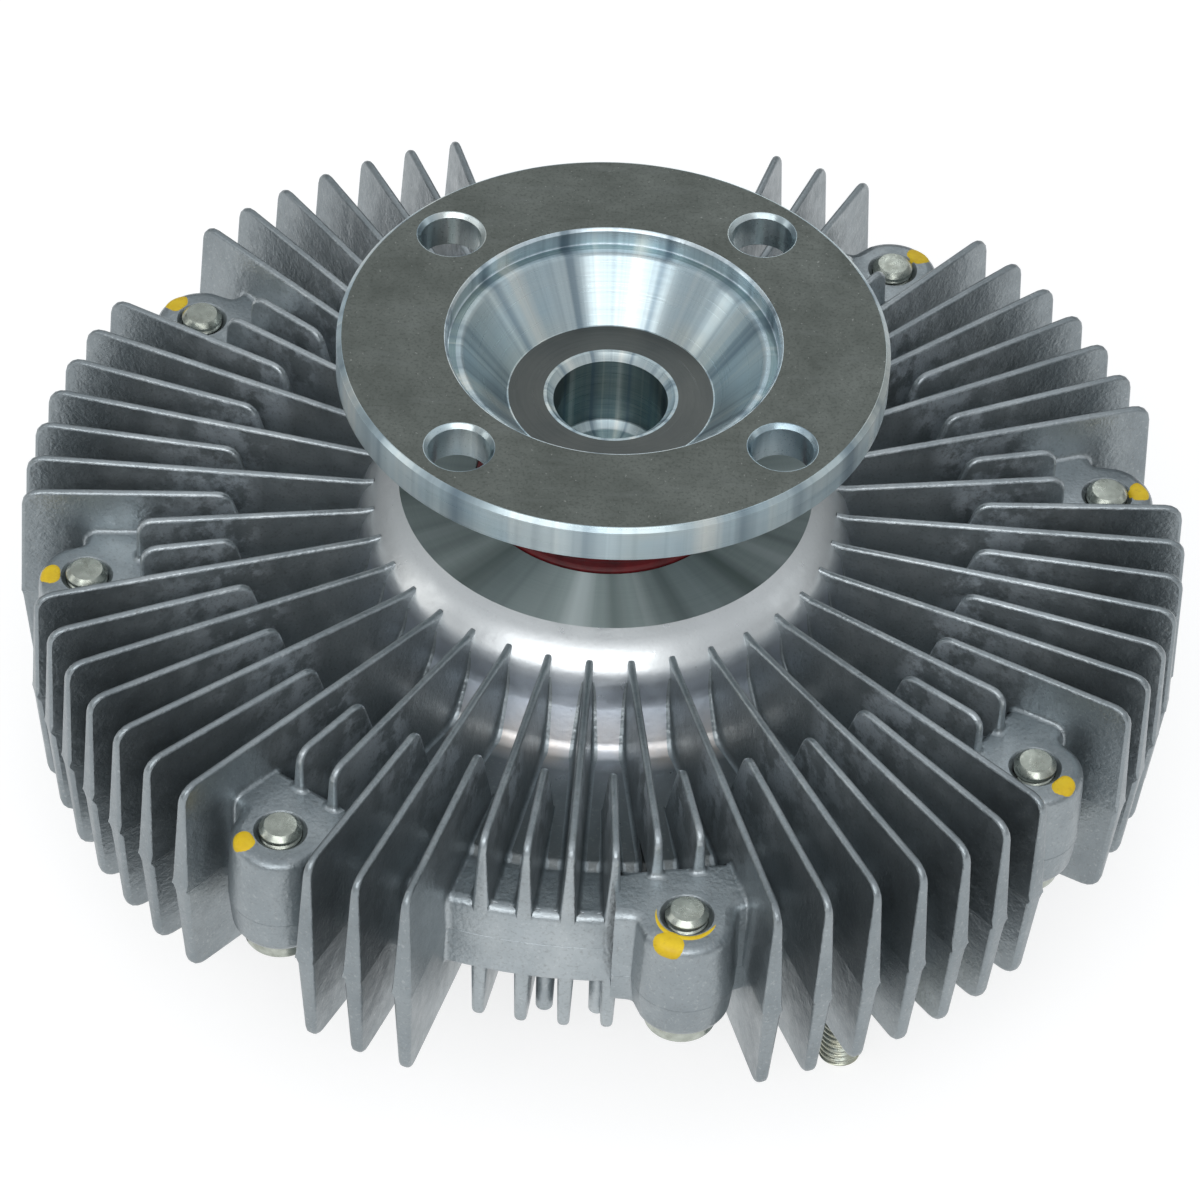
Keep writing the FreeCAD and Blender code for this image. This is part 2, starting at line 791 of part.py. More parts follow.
def build_split_ring():
    """The rubber ring squeezed flat in its groove between the two castings."""
    body = new_body("housing_seal_ring")
    inner = size("ring_groove_dia") / 2 + size("ring_gap")
    outer = size("ring_groove_dia") / 2 + size("ring_groove_width") - size("ring_gap")
    turned(body, "squeezed_ring", [
        (inner, split - size("ring_groove_depth")),
        (outer, split - size("ring_groove_depth")),
        (outer, split),
        (inner, split),
    ])
    body.Placement = turn_placement(FIRST_BOLT_TURN)
    return keep(body)


def build_rotor():
    """The driven disc, its front face cut with rings that mesh with the housing's lands."""
    body = new_body("rotor")
    rim = chamber_radius - size("rotor_rim_gap")
    hub_radius = size("rotor_hub_dia") / 2
    bore = size("rotor_seat_dia") / 2
    web_radius = size("rotor_web_dia") / 2
    web_back = rotor_back + size("rotor_web_recess")
    head_top = shaft_end + size("shaft_head_thick")
    groove_floor = chamber_front - size("land_height") - size("land_gap")
    outline = [
        (bore, head_top),
        (bore, bearing_back),
        (hub_radius, bearing_back),
        (hub_radius, rotor_front),
    ]
    for index in range(int(size("land_count").number)):
        land_inner = size("land_first_radius") + size("land_pitch") * index
        groove_inner = land_inner - size("land_gap")
        groove_outer = land_inner + size("land_width") + size("land_gap")
        outline += [
            (groove_inner, rotor_front),
            (groove_inner, groove_floor),
            (groove_outer, groove_floor),
            (groove_outer, rotor_front),
        ]
    outline += [
        (rim, rotor_front),
        (rim, rotor_back),
        (web_radius, rotor_back),
        (web_radius, web_back),
    ]
    turned(body, "rotor_disc", outline)
    port = drilled(
        body, "rotor_port", size("rotor_port_circle") / 2, ZERO, size("rotor_port_dia"),
        rotor_front + OVER, size("rotor_thick") + OVER * 2,
    )
    repeated(body, "rotor_ports", [port], size("rotor_port_count"))
    body.Placement = turn_placement(size("flange_turn").number)
    return keep(body)


def build_divider_plate():
    """The steel plate between the working chamber and the fluid store, with its inlet and return holes."""
    body = new_body("divider_plate")

    def draw_plate(sketch):
        draw_circle(sketch, ZERO, ZERO, size("plate_dia"))

    raised(body, "plate_blank", draw_plate, plate_seat, size("plate_thick"))
    doc.recompute()
    top = plate_seat + size("plate_thick") + OVER
    through = size("plate_thick") + OVER * 2
    drilled(body, "inlet_port", size("plate_port_radius"), ZERO, size("plate_port_dia"), top, through)
    drilled(body, "return_hole", size("return_hole_radius"), ZERO, size("return_slot_width"), top, through)
    angle = math.radians(size("stud_turn").number)
    radius = size("plate_screw_circle") / 2
    screw_hole = drilled(
        body, "screw_hole", radius * math.cos(angle), radius * math.sin(angle), size("plate_screw_dia"),
        top, through,
    )
    repeated(body, "screw_holes", [screw_hole], size("plate_screw_count"))
    body.Placement = turn_placement(FIRST_BOLT_TURN)
    keep(body)

    head_top = plate_seat.number + size("plate_thick").number + size("plate_screw_head").number
    head_base = plate_seat.number + size("plate_thick").number
    shank_radius = size("plate_screw_dia").number / 2 - size("thread_gap").number
    x = radius.number
    screw = cylinder(size("plate_screw_head_dia").number / 2, head_top, head_base, x)
    shank_end = plate_seat.number - size("plate_screw_length").number + size("screw_end_gap").number
    screw = screw.fuse(cylinder(shank_radius, head_base, shank_end, x)).removeSplitter()
    screws = around(screw, size("plate_screw_count").number, size("stud_turn").number)
    keep(shape_feature("divider_plate_screws", Part.makeCompound(screws), FIRST_BOLT_TURN))


# Threaded fasteners: plain shanks at the thread's size, with their end chamfers
def chamfered_rod(radius, top, bottom, x, chamfer_top, chamfer_bottom):
    points = [FreeCAD.Vector(0, 0, bottom)]
    points += [FreeCAD.Vector(radius - chamfer_bottom, 0, bottom)]
    points += [FreeCAD.Vector(radius, 0, bottom + chamfer_bottom)]
    points += [FreeCAD.Vector(radius, 0, top - chamfer_top)]
    points += [FreeCAD.Vector(radius - chamfer_top, 0, top)]
    points += [FreeCAD.Vector(0, 0, top)]
    distinct = [point for index, point in enumerate(points) if index == 0 or point != points[index - 1]]
    rod = Part.Face(Part.makePolygon(distinct + distinct[:1])).revolve(ORIGIN, Z_AXIS, 360)
    rod.translate(FreeCAD.Vector(x, 0, 0))
    return rod


def build_housing_bolts():
    radius = size("bolt_dia").number / 2 - size("thread_gap").number
    seat = -size("lug_depth").number
    end = size("bolt_end_proud").number - size("boss_top_depth").number
    x = size("bolt_circle").number / 2
    shank = chamfered_rod(radius, end, seat, x, size("bolt_end_chamfer").number, 0.0)
    head = cylinder(size("bolt_head_dia").number / 2, seat, seat - size("bolt_head_height").number, x)
    bolt = shank.fuse(head).removeSplitter()
    bolts = around(bolt, size("bolt_count").number)
    keep(shape_feature("housing_bolts", Part.makeCompound(bolts), FIRST_BOLT_TURN))


def build_fan_studs():
    radius = size("stud_dia").number / 2 - size("thread_gap").number
    seat = -size("stud_seat_depth").number
    top = seat + size("stud_length_in").number
    bottom = seat - size("stud_length_out").number
    chamfer = size("stud_chamfer").number
    x = size("stud_circle").number / 2
    relief_end = seat - size("stud_relief_length").number
    relief = cylinder(radius + OVER.number, seat, relief_end, x)
    relief = relief.cut(cylinder(size("stud_relief_dia").number / 2, seat, relief_end, x))
    stud = chamfered_rod(radius, top, bottom, x, chamfer, chamfer).cut(relief)
    studs = around(stud, size("stud_count").number, size("stud_turn").number)
    keep(shape_feature("fan_studs", Part.makeCompound(studs), FIRST_BOLT_TURN))


# Valve: an arm over the plate's port, on a shaft that the bimetal coil turns
def build_valve():
    arm_top = plate_seat - size("valve_arm_gap")
    arm_bottom = arm_top - size("valve_arm_thick")
    nose = size("valve_nose_dia") / 2
    shaft_radius = size("valve_shaft_dia") / 2
    ring_top = -size("valve_ring_depth")
    ring_bottom = ring_top - size("valve_ring_width")
    ring_radius = size("valve_ring_dia") / 2
    clip_top = -size("valve_boss_depth") - size("clip_gap")
    clip_bottom = clip_top - size("clip_thick")
    clip_radius = size("clip_groove_dia") / 2
    end = -size("valve_end_depth")

    body = new_body("valve_shaft")
    turned(body, "valve_shaft_turned", [
        (ZERO, end),
        (shaft_radius, end),
        (shaft_radius, clip_bottom),
        (clip_radius, clip_bottom),
        (clip_radius, clip_top),
        (shaft_radius, clip_top),
        (shaft_radius, ring_bottom),
        (ring_radius, ring_bottom),
        (ring_radius, ring_top),
        (shaft_radius, ring_top),
        (shaft_radius, arm_bottom),
        (nose, arm_bottom),
        (nose, arm_top),
        (ZERO, arm_top),
    ])
    slot_half = size("coil_slot_width") / 2
    slot_reach = shaft_radius + OVER
    slot_depth = size("valve_end_depth") - size("coil_top_depth") + size("bracket_slot_gap")

    def draw_slot(sketch):
        draw_outline(sketch, [
            (-slot_reach, -slot_half),
            (slot_reach, -slot_half),
            (slot_reach, slot_half),
            (-slot_reach, slot_half),
        ])

    sketch = new_sketch(body, "coil_slot_outline", "XY_Plane", end + slot_depth)
    draw_slot(sketch)
    slot = body.newObject("PartDesign::Pocket", "coil_slot")
    slot.Profile = sketch
    slot.Type = "Length"
    slot.Length = (slot_depth + OVER).number
    slot.setExpression("Length", (slot_depth + OVER).formula)
    slot.Refine = False
    body.Placement = turn_placement(FIRST_BOLT_TURN)
    keep(body)

    width = size("valve_arm_width").number
    length = size("valve_arm_length").number
    top = arm_top.number
    bottom = arm_bottom.number
    blade = Part.makeBox(length - width / 2, width, top - bottom, FreeCAD.Vector(0, -width / 2, bottom))
    hub = cylinder(size("valve_arm_hub_dia").number / 2, top, bottom)
    blade = blade.fuse([cylinder(width / 2, top, bottom, length - width / 2), hub])
    blade = blade.cut(cylinder(nose.number, top, bottom)).removeSplitter()
    keep(shape_feature("valve_arm", blade, FIRST_BOLT_TURN))

    seal = new_body("valve_shaft_seal")
    gap = size("ring_gap")
    turned(seal, "valve_seal_ring", [
        (ring_radius, ring_bottom + gap),
        (shaft_radius, ring_bottom + gap),
        (shaft_radius, ring_top - gap),
        (ring_radius, ring_top - gap),
    ])
    seal.Placement = turn_placement(FIRST_BOLT_TURN)
    keep(seal)

    clip_outer = size("clip_dia").number / 2
    clip = cylinder(clip_outer, clip_top.number, clip_bottom.number)
    clip = clip.cut(cylinder(clip_radius.number, clip_top.number, clip_bottom.number))
    mouth_width = size("clip_mouth_width").number
    mouth = Part.makeBox(
        clip_outer + OVER.number, mouth_width, size("clip_thick").number,
        FreeCAD.Vector(0, -mouth_width / 2, clip_bottom.number),
    )
    clip = clip.cut(mouth)
    clip.rotate(ORIGIN, Z_AXIS, 90)
    keep(shape_feature("valve_shaft_clip", clip, FIRST_BOLT_TURN))


def half_turn_arc(radius, centre_x, upper):
    side = 1 if upper else -1
    start = FreeCAD.Vector(centre_x + side * radius, 0, 0)
    middle = FreeCAD.Vector(centre_x, side * radius, 0)
    finish = FreeCAD.Vector(centre_x - side * radius, 0, 0)
    return Part.Arc(start, middle, finish).toShape()


def build_bimetal_coil():
    """A flat strip wound in half circles, its inner end in the shaft's slot, its outer end in the bracket."""
    strip = size("coil_strip").number
    pitch = size("coil_pitch").number
    inner = size("coil_inner_radius").number
    width = size("coil_width").number
    bottom = -size("coil_top_depth").number - width
    halves = int(2 * size("coil_turns").number)
    outer_arcs = []
    inner_arcs = []
    for index in range(halves):
        radius = inner + pitch * index / 2
        centre = pitch / 2 if index % 2 else 0.0
        outer_arcs.append(half_turn_arc(radius + strip / 2, centre, index % 2 == 0))
        inner_arcs.append(half_turn_arc(radius - strip / 2, centre, index % 2 == 0))
    first = outer_arcs[0].Vertexes[0].Point
    first_inner = inner_arcs[0].Vertexes[0].Point
    last = outer_arcs[-1].Vertexes[-1].Point
    last_inner = inner_arcs[-1].Vertexes[-1].Point
    wire = Part.Wire(Part.__sortEdges__(
        outer_arcs + [Part.makeLine(last, last_inner)] + inner_arcs + [Part.makeLine(first_inner, first)]
    ))
    spiral = Part.Face(wire).extrude(FreeCAD.Vector(0, 0, width))
    spiral.translate(FreeCAD.Vector(0, 0, bottom))

    tang_end = -size("valve_shaft_dia").number / 2
    tang = Part.makeBox(inner - tang_end, strip, width, FreeCAD.Vector(tang_end, -strip / 2, bottom))
    tail_start = last_inner.x
    tail = Part.makeBox(
        size("bracket_radius").number + 2 * size("bracket_thick").number - tail_start, strip, width,
        FreeCAD.Vector(tail_start, -strip / 2, bottom),
    )
    coil = spiral.fuse([tang, tail]).removeSplitter()
    keep(shape_feature("bimetal_coil", coil, FIRST_BOLT_TURN))


def bracket_screw_x():
    tab = size("bracket_radius").number + size("bracket_thick").number
    return tab + size("bracket_screw_reach").number


def build_coil_bracket():
    """A folded steel foot on the cover, with a slotted tab that holds the coil's outer end."""
    thick = size("bracket_thick").number
    radius = size("bracket_radius").number
    foot = size("bracket_foot").number
    half_width = size("bracket_width").number / 2
    tab_half = size("bracket_tab_width").number / 2
    top = platform.number
    tab_bottom = -size("coil_top_depth").number - size("coil_width").number - size("bracket_tab_over").number
    base = Part.makeBox(foot + thick, 2 * half_width, thick, FreeCAD.Vector(radius, -half_width, top - thick))
    tab = Part.makeBox(thick, 2 * tab_half, top - tab_bottom, FreeCAD.Vector(radius, -tab_half, tab_bottom))
    slot_half = size("coil_strip").number / 2 + size("bracket_slot_gap").number / 2
    slot_top = -size("coil_top_depth").number + size("bracket_slot_gap").number
    slot = Part.makeBox(
        thick, 2 * slot_half, slot_top - tab_bottom,
        FreeCAD.Vector(radius, -slot_half, tab_bottom),
    )
    bracket = base.fuse(tab).cut(slot)
    screw_x = bracket_screw_x()
    screw_radius = size("bracket_screw_dia").number / 2
    screws = []
    for side in (-0.5, 0.5):
        y = side * size("bracket_screw_spacing").number
        bracket = bracket.cut(cylinder(screw_radius, top, top - thick, screw_x, y))
        head_top = top - thick
        head = cylinder(
            size("bracket_screw_head_dia").number / 2, head_top, head_top - size("bracket_screw_head").number,
            screw_x, y,
        )
        shank_end = top + size("bracket_screw_length").number - size("screw_end_gap").number
        shank = cylinder(screw_radius - size("thread_gap").number, shank_end, head_top, screw_x, y)
        screws.append(head.fuse(shank).removeSplitter())
    keep(shape_feature("coil_bracket", bracket.removeSplitter(), FIRST_BOLT_TURN))
    keep(shape_feature("bracket_screws", Part.makeCompound(screws), FIRST_BOLT_TURN))


build_drive_shaft()
build_bearing()
build_front_housing()
build_rear_cover()
build_split_ring()
build_rotor()
build_divider_plate()
build_housing_bolts()
build_fan_studs()
build_valve()
build_bimetal_coil()
build_coil_bracket()

doc.recompute()

for item in doc.Objects:
    if "Invalid" in item.State or "Error" in item.State:
        raise RuntimeError("%s failed: %s" % (item.Label, item.State))

for node in NODES:
    shape = node.Shape
    if shape.isNull() or not shape.isValid():
        raise RuntimeError("%s has no valid shape" % node.Label)
    shape.exportStep("parts/%s.step" % node.Label)
    print("%-24s solids %2d  volume %10.1f" % (node.Label, len(shape.Solids), shape.Volume))
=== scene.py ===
import math
import bpy
from mathutils import Matrix, Vector
from mathutils.geometry import tessellate_polygon


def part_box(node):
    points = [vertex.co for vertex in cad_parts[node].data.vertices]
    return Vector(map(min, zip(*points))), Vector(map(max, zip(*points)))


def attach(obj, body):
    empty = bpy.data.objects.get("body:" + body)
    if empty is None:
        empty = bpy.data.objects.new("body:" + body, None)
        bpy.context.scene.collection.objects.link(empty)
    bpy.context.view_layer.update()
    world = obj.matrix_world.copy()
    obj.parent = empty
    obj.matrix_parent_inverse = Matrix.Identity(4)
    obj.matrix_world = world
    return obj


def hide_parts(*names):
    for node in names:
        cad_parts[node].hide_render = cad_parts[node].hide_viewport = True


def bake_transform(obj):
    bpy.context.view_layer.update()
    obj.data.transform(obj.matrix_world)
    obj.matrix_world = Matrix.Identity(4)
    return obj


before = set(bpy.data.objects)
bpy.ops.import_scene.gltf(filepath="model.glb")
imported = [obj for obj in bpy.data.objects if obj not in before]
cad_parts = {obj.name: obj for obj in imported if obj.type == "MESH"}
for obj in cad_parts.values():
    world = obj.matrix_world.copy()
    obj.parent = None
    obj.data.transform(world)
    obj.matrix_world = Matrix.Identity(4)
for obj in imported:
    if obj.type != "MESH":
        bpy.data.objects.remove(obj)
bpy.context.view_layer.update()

# Lengths below are in millimetres and angles in degrees. +Z points out of the drive flange, from its face.
MM = 0.001
FIRST_BOLT = -79.06
FLANGE_TURN = 49.64
BOLT_COUNT = 8
BOLT_CIRCLE = 73.65
STUD_CIRCLE = 67.5
STUD_OFFSET = 22.5
STUD_SEAT = -67.0
STUD_END = -82.3
PIN_CIRCLE = 64.3
FIN_COUNT = 72
FIN_PITCH = 5.0
BOSS_PITCH = 45.0
SPLIT = -49.0
SEAM_ROUND = 0.12
FRONT_TOP = -30.3
REAR_TIP = -66.5
RIM = 69.0
PLATFORM = -37.5
LUG = -55.2
FRONT_FLOOR = -42.4
BOSS_INNER = 64.8
WEB_END = 73.4
BOSS_RADIUS = 6.8
BOSS_ROUND = 1.6
REAR_ROUND = 1.9
MOUTH = 3.8
REAR_MOUTH = 3.3
FRONT_ROOT = 34.5
REAR_ROOT = 36.0
SHORT_ROOT = 49.2
REAR_SHIFT = 0.06
FRONT_FILLET = 0.7
REAR_FILLET = 0.85
FOOT_FILLET = 0.8
FILLET_GROWTH = 14.0
BURIED = 0.02

# How many sides round things have
CORE_SIDES = 360
LAND_SIDES = 300
FLANGE_SIDES = 240
SEAL_SIDES = 200
BORE_SIDES = 180
HOLE_SIDES = 48
BOLT_SIDES = 40
PIN_SIDES = 20


def new_object(name, data):
    thing = bpy.data.objects.new(name, data)
    bpy.context.scene.collection.objects.link(thing)
    return thing


# Meshes: a small builder that gathers vertices and faces in millimetres
class Shell:
    def __init__(self):
        self.points = []
        self.faces = []
        self.coats = []
        self.coat = 0

    def add(self, points, faces):
        start = len(self.points)
        self.points += [tuple(point) for point in points]
        self.faces += [tuple(start + index for index in face) for face in faces]
        self.coats += [self.coat] * len(faces)

    def add_turned(self, points, faces, degrees):
        c, s = math.cos(math.radians(degrees)), math.sin(math.radians(degrees))
        self.add([(x * c - y * s, x * s + y * c, z) for x, y, z in points], faces)

    def make(self, name, body, materials, nodes=()):
        """Turn the shell into a piece. Each face wears the coat that was set when it was added."""
        mesh = bpy.data.meshes.new(name)
        mesh.from_pydata([(x * MM, y * MM, z * MM) for x, y, z in self.points], [], self.faces)
        mesh.polygons.foreach_set("use_smooth", [True] * len(mesh.polygons))
        mesh.polygons.foreach_set("material_index", self.coats)
        for material in materials:
            mesh.materials.append(material)
        mesh.update()
        piece = new_object(name, mesh)
        weighted = piece.modifiers.new("weighted", "WEIGHTED_NORMAL")
        weighted.mode = "FACE_AREA"
        weighted.weight = 80
        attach(piece, body)
        if nodes:
            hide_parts(*nodes)


def direction(line, index):
    """The way a line runs at one of its points."""
    before = Vector(line[max(index - 1, 0)])
    after = Vector(line[min(index + 1, len(line) - 1)])
    return (after - before).normalized()


def sheet(rows, width, flip=False, crosswise=False):
    """The faces of a sheet of points that are added row by row."""
    faces = []
    for row in range(rows - 1):
        for column in range(width - 1):
            a = row * width + column
            b = a + width
            face = (a, a + 1, b + 1, b) if crosswise else (a, b, b + 1, a + 1)
            faces.append(face[::-1] if flip else face)
    return faces


def tube(rings, sides, inward=False, start=0):
    """The faces between rings of points that are added one ring after the other."""
    faces = []
    for ring in range(rings - 1):
        for index in range(sides):
            following = (index + 1) % sides
            low = start + ring * sides
            high = low + sides
            face = (low + index, high + index, high + following, low + following)
            faces.append((face[0], face[3], face[2], face[1]) if inward else face)
    return faces


def rounded(points, closed=False, steps=4):
    """Round the corners of a line of (a, b, radius) points. A radius of 0 keeps the corner sharp."""
    result = []
    count = len(points)
    for index, (a, b, radius) in enumerate(points):
        here = Vector((a, b))
        if radius <= 0 or (not closed and index in (0, count - 1)):
            result.append((a, b))
            continue
        before = Vector(points[index - 1][:2]) - here
        after = Vector(points[(index + 1) % count][:2]) - here
        angle = before.angle(after)
        reach = min(radius / math.tan(angle / 2), before.length * 0.49, after.length * 0.49)
        radius = reach * math.tan(angle / 2)
        middle = (before.normalized() + after.normalized()).normalized()
        centre = here + middle * (radius / math.sin(angle / 2))
        start = here + before.normalized() * reach - centre
        finish = here + after.normalized() * reach - centre
        turn = math.atan2(start.x * finish.y - start.y * finish.x, start.dot(finish))
        for step in range(steps + 1):
            part = turn * step / steps
            c, s = math.cos(part), math.sin(part)
            result.append((centre.x + start.x * c - start.y * s, centre.y + start.x * s + start.y * c))
    return result


def split_sharp(profile, limit):
    """Break a profile where it turns sharply, so that each run is shaded smoothly by itself."""
    runs = [[profile[0]]]
    for index in range(1, len(profile)):
        runs[-1].append(profile[index])
        if index + 1 < len(profile):
            before = Vector(profile[index]) - Vector(profile[index - 1])
            after = Vector(profile[index + 1]) - Vector(profile[index])
            if before.length > 1e-6 and after.length > 1e-6 and math.degrees(before.angle(after)) > limit:
                runs.append([profile[index]])
    return runs


def lathe(shell, profile, segments, centre=0.0, degrees=0.0, limit=30.0):
    """Turn a profile of (radius, height), its outside on the left, about an axis at a distance from Z."""
    for run in split_sharp(profile, limit):
        points = []
        for radius, height in run:
            for index in range(segments):
                angle = 2 * math.pi * index / segments
                points.append((centre + radius * math.cos(angle), radius * math.sin(angle), height))
        shell.add_turned(points, tube(len(run), segments), degrees)


def flat_with_holes(shell, loops, height, up):
    """A flat face between an outer loop and hole loops, all lists of (x, y)."""
    triangles = tessellate_polygon([[Vector((x, y, 0)) for x, y in loop] for loop in loops])
    points = [(x, y, height) for loop in loops for x, y in loop]
    faces = []
    for a, b, c in triangles:
        ab = Vector(points[b]) - Vector(points[a])
        ac = Vector(points[c]) - Vector(points[a])
        faces.append((a, b, c) if (ab.cross(ac).z > 0) == up else (a, c, b))
    shell.add(points, faces)


def circle(radius, segments, x=0.0, y=0.0):
    points = []
    for index in range(segments):
        angle = 2 * math.pi * index / segments
        points.append((x + radius * math.cos(angle), y + radius * math.sin(angle)))
    return points


# Fins: plates with a rounded free edge, drafted flat sides and fillets where they meet the core
def plate_edge(shell, path, half, rho, degrees, side, steps=3):
    """The free edge of a plate, rounded over. Returns the inset line that bounds the plate's flat sides."""
    rings = []
    for index, (r, z) in enumerate(path):
        along = direction(path, index)
        normal = Vector((along.y, -along.x)) * side
        curve = rho(z)
        ring = []
        for step in range(steps + 1):
            angle = math.pi / 2 * step / steps
            inset = curve * (1 - math.sin(angle))
            x, height = r - normal.x * inset, z - normal.y * inset
            ring.append((x, half(height) - curve * (1 - math.cos(angle)), height))
        ring += [(x, -y, height) for x, y, height in reversed(ring)]
        rings.append(ring)
    points = [point for ring in rings for point in ring]
    shell.add_turned(points, sheet(len(path), len(rings[0]), flip=side < 0), degrees)
    return [(ring[0][0], ring[0][2]) for ring in rings]


def fin(shell, path, root, half, rho, degrees, side):
    """One cast fin, from its free path and the root points that lie inside the core."""
    outline = plate_edge(shell, path, half, rho, degrees, side) + list(root)
    order = tuple(range(len(outline)))
    left = [(r, half(z), z) for r, z in outline]
    right = [(r, -half(z), z) for r, z in outline]
    shell.add_turned(left, [order[::-1] if side > 0 else order], degrees)
    shell.add_turned(right, [order if side > 0 else order[::-1]], degrees)


def fillet_strip(shell, path, half, full_radius, side, degrees, guard=0.3, steps=4):
    """A concave strip where one side of a fin meets the core. The path has the core's outside on its left."""
    points = []
    travelled = 0.0
    for index, (r, z) in enumerate(path):
        travelled += (Vector(path[index]) - Vector(path[max(index - 1, 0)])).length
        radius = full_radius * min(1.0, 0.1 + travelled / FILLET_GROWTH)
        along = direction(path, index)
        out = Vector((-along.y, along.x))
        section = [(-BURIED, radius + guard)]
        for step in range(steps + 1):
            angle = math.pi / 2 * step / steps
            section.append((radius * (1 - math.cos(angle)), radius * (1 - math.sin(angle))))
        section.append((radius + guard, -BURIED))
        for across, away in section:
            x, height = r + out.x * away, z + out.y * away
            points.append((x, side * (half(height) + across), height))
    shell.add_turned(points, sheet(len(path), steps + 3, flip=side < 0), degrees)


def foot_fillet(shell, outline, height, radius, degrees, steps=4):
    """A concave strip where an upright shape, given by its plan (x, y), stands on a flat face."""
    points = []
    for index, (x, y) in enumerate(outline):
        along = direction(outline, index)
        out = Vector((along.y, -along.x))
        for step in range(steps + 1):
            angle = math.pi / 2 * step / steps
            across = radius * (1 - math.cos(angle)) - BURIED
            rise = radius * (1 - math.sin(angle)) - BURIED
            points.append((x + out.x * across, y + out.y * across, height + rise))
    shell.add_turned(points, sheet(len(outline), steps + 1, crosswise=True), degrees)


def walled_edge(shell, line, top, bottom, radius, degrees, draft=0.0, steps=5):
    """A wall along a plan line, its outside on the right, with a rounded edge. Returns the inset line."""
    sign = 1 if top > bottom else -1
    points = []
    inset_line = []
    for index, (x, y) in enumerate(line):
        along = direction(line, index)
        out = Vector((along.y, -along.x))
        for step in range(steps + 1):
            angle = math.pi / 2 * step / steps
            inset = radius * (1 - math.sin(angle))
            fall = radius * (1 - math.cos(angle))
            points.append((x - out.x * inset, y - out.y * inset, top - sign * fall))
        points.append((x + out.x * draft, y + out.y * draft, bottom + sign * SEAM_ROUND))
        points.append((x + out.x * (draft - SEAM_ROUND), y + out.y * (draft - SEAM_ROUND), bottom))
        inset_line.append((x - out.x * radius, y - out.y * radius))
    shell.add_turned(points, sheet(len(line), steps + 3, flip=sign < 0, crosswise=True), degrees)
    return inset_line


# The castings' cores as profiles of (radius, height, rounding), and the fins' thickness and edges
FRONT_CORE = rounded([
    (29.3, -27.2, 0), (31.8, -28.9, 12.0), (34.4, -31.9, 6.0), (35.4, -36.0, 6.0), (39.2, FRONT_FLOOR, 3.4),
    (49.3, FRONT_FLOOR, 0), (59.2, FRONT_FLOOR, 0.9), (60.3, FRONT_FLOOR - 0.7, 0.9),
    (RIM, FRONT_FLOOR - 0.7, 1.7), (RIM, SPLIT, SEAM_ROUND), (66.0, SPLIT, 0),
], steps=8)
BEARING_LAND = rounded([(18.5, -28.3, 0), (18.5, -27.2, 0.25), (29.2, -27.2, 0.1), (29.3, -27.2, 0)], steps=4)
REAR_CORE = rounded([
    (66.0, SPLIT, 0), (RIM, SPLIT, SEAM_ROUND), (RIM, -55.6, 0.9), (62.6, -60.6, 1.6), (39.0, -60.7, 1.6),
    (36.2, -66.0, 0.9), (10.2, -66.0, 0.6), (9.0, -67.5, 0.5), (4.05, -67.5, 0.3), (4.05, -63.0, 0),
], steps=4)


def from_radius(profile, start):
    return [point for point in profile if point[0] >= start]


def front_half(z):
    """Half the thickness of a front fin at a height. It thins towards its free edge."""
    return 1.42 - 0.9 * (z - SPLIT) / (FRONT_TOP - SPLIT)


def rear_half(z):
    return 1.3 - 0.5 * (SPLIT - z) / (SPLIT - REAR_TIP)


def front_rho(z):
    """How far a front fin's free edge is rounded at a height: hardly at the split."""
    return 0.46 if z > SPLIT + 1.0 else SEAM_ROUND


def rear_rho(z):
    return 0.62 if z < SPLIT - 1.0 else SEAM_ROUND


def fin_kind(index):
    """Angles from the first bolt and the nearest boss, whether the fin is short, and where it ends."""
    angle = FIN_PITCH * (index - 0.5)
    from_boss = (angle + BOSS_PITCH / 2) % BOSS_PITCH - BOSS_PITCH / 2
    from_band = (angle + 180.0) % 180.0 - 180.0
    is_short = index % 2 == 1
    end = "full"
    if abs(from_boss) < FIN_PITCH:
        end = "boss"
    elif -25.0 < from_band < 0:
        end = "band"
    return angle, from_boss, is_short, end


def boss_path(core, lift_start, level):
    """The core's line with the boss platform standing on it, for the fins beside a boss."""
    sign = 1 if level > SPLIT else -1
    before = [(r, z, 0) for r, z in core if r <= lift_start - 0.9]
    step = [(lift_start, before[-1][1], 0.5), (lift_start + 0.15, level, 0.9), (WEB_END, level, 1.6)]
    step.append((WEB_END + 0.2, SPLIT + sign * 0.1, 0))
    return rounded(before + step, steps=4)


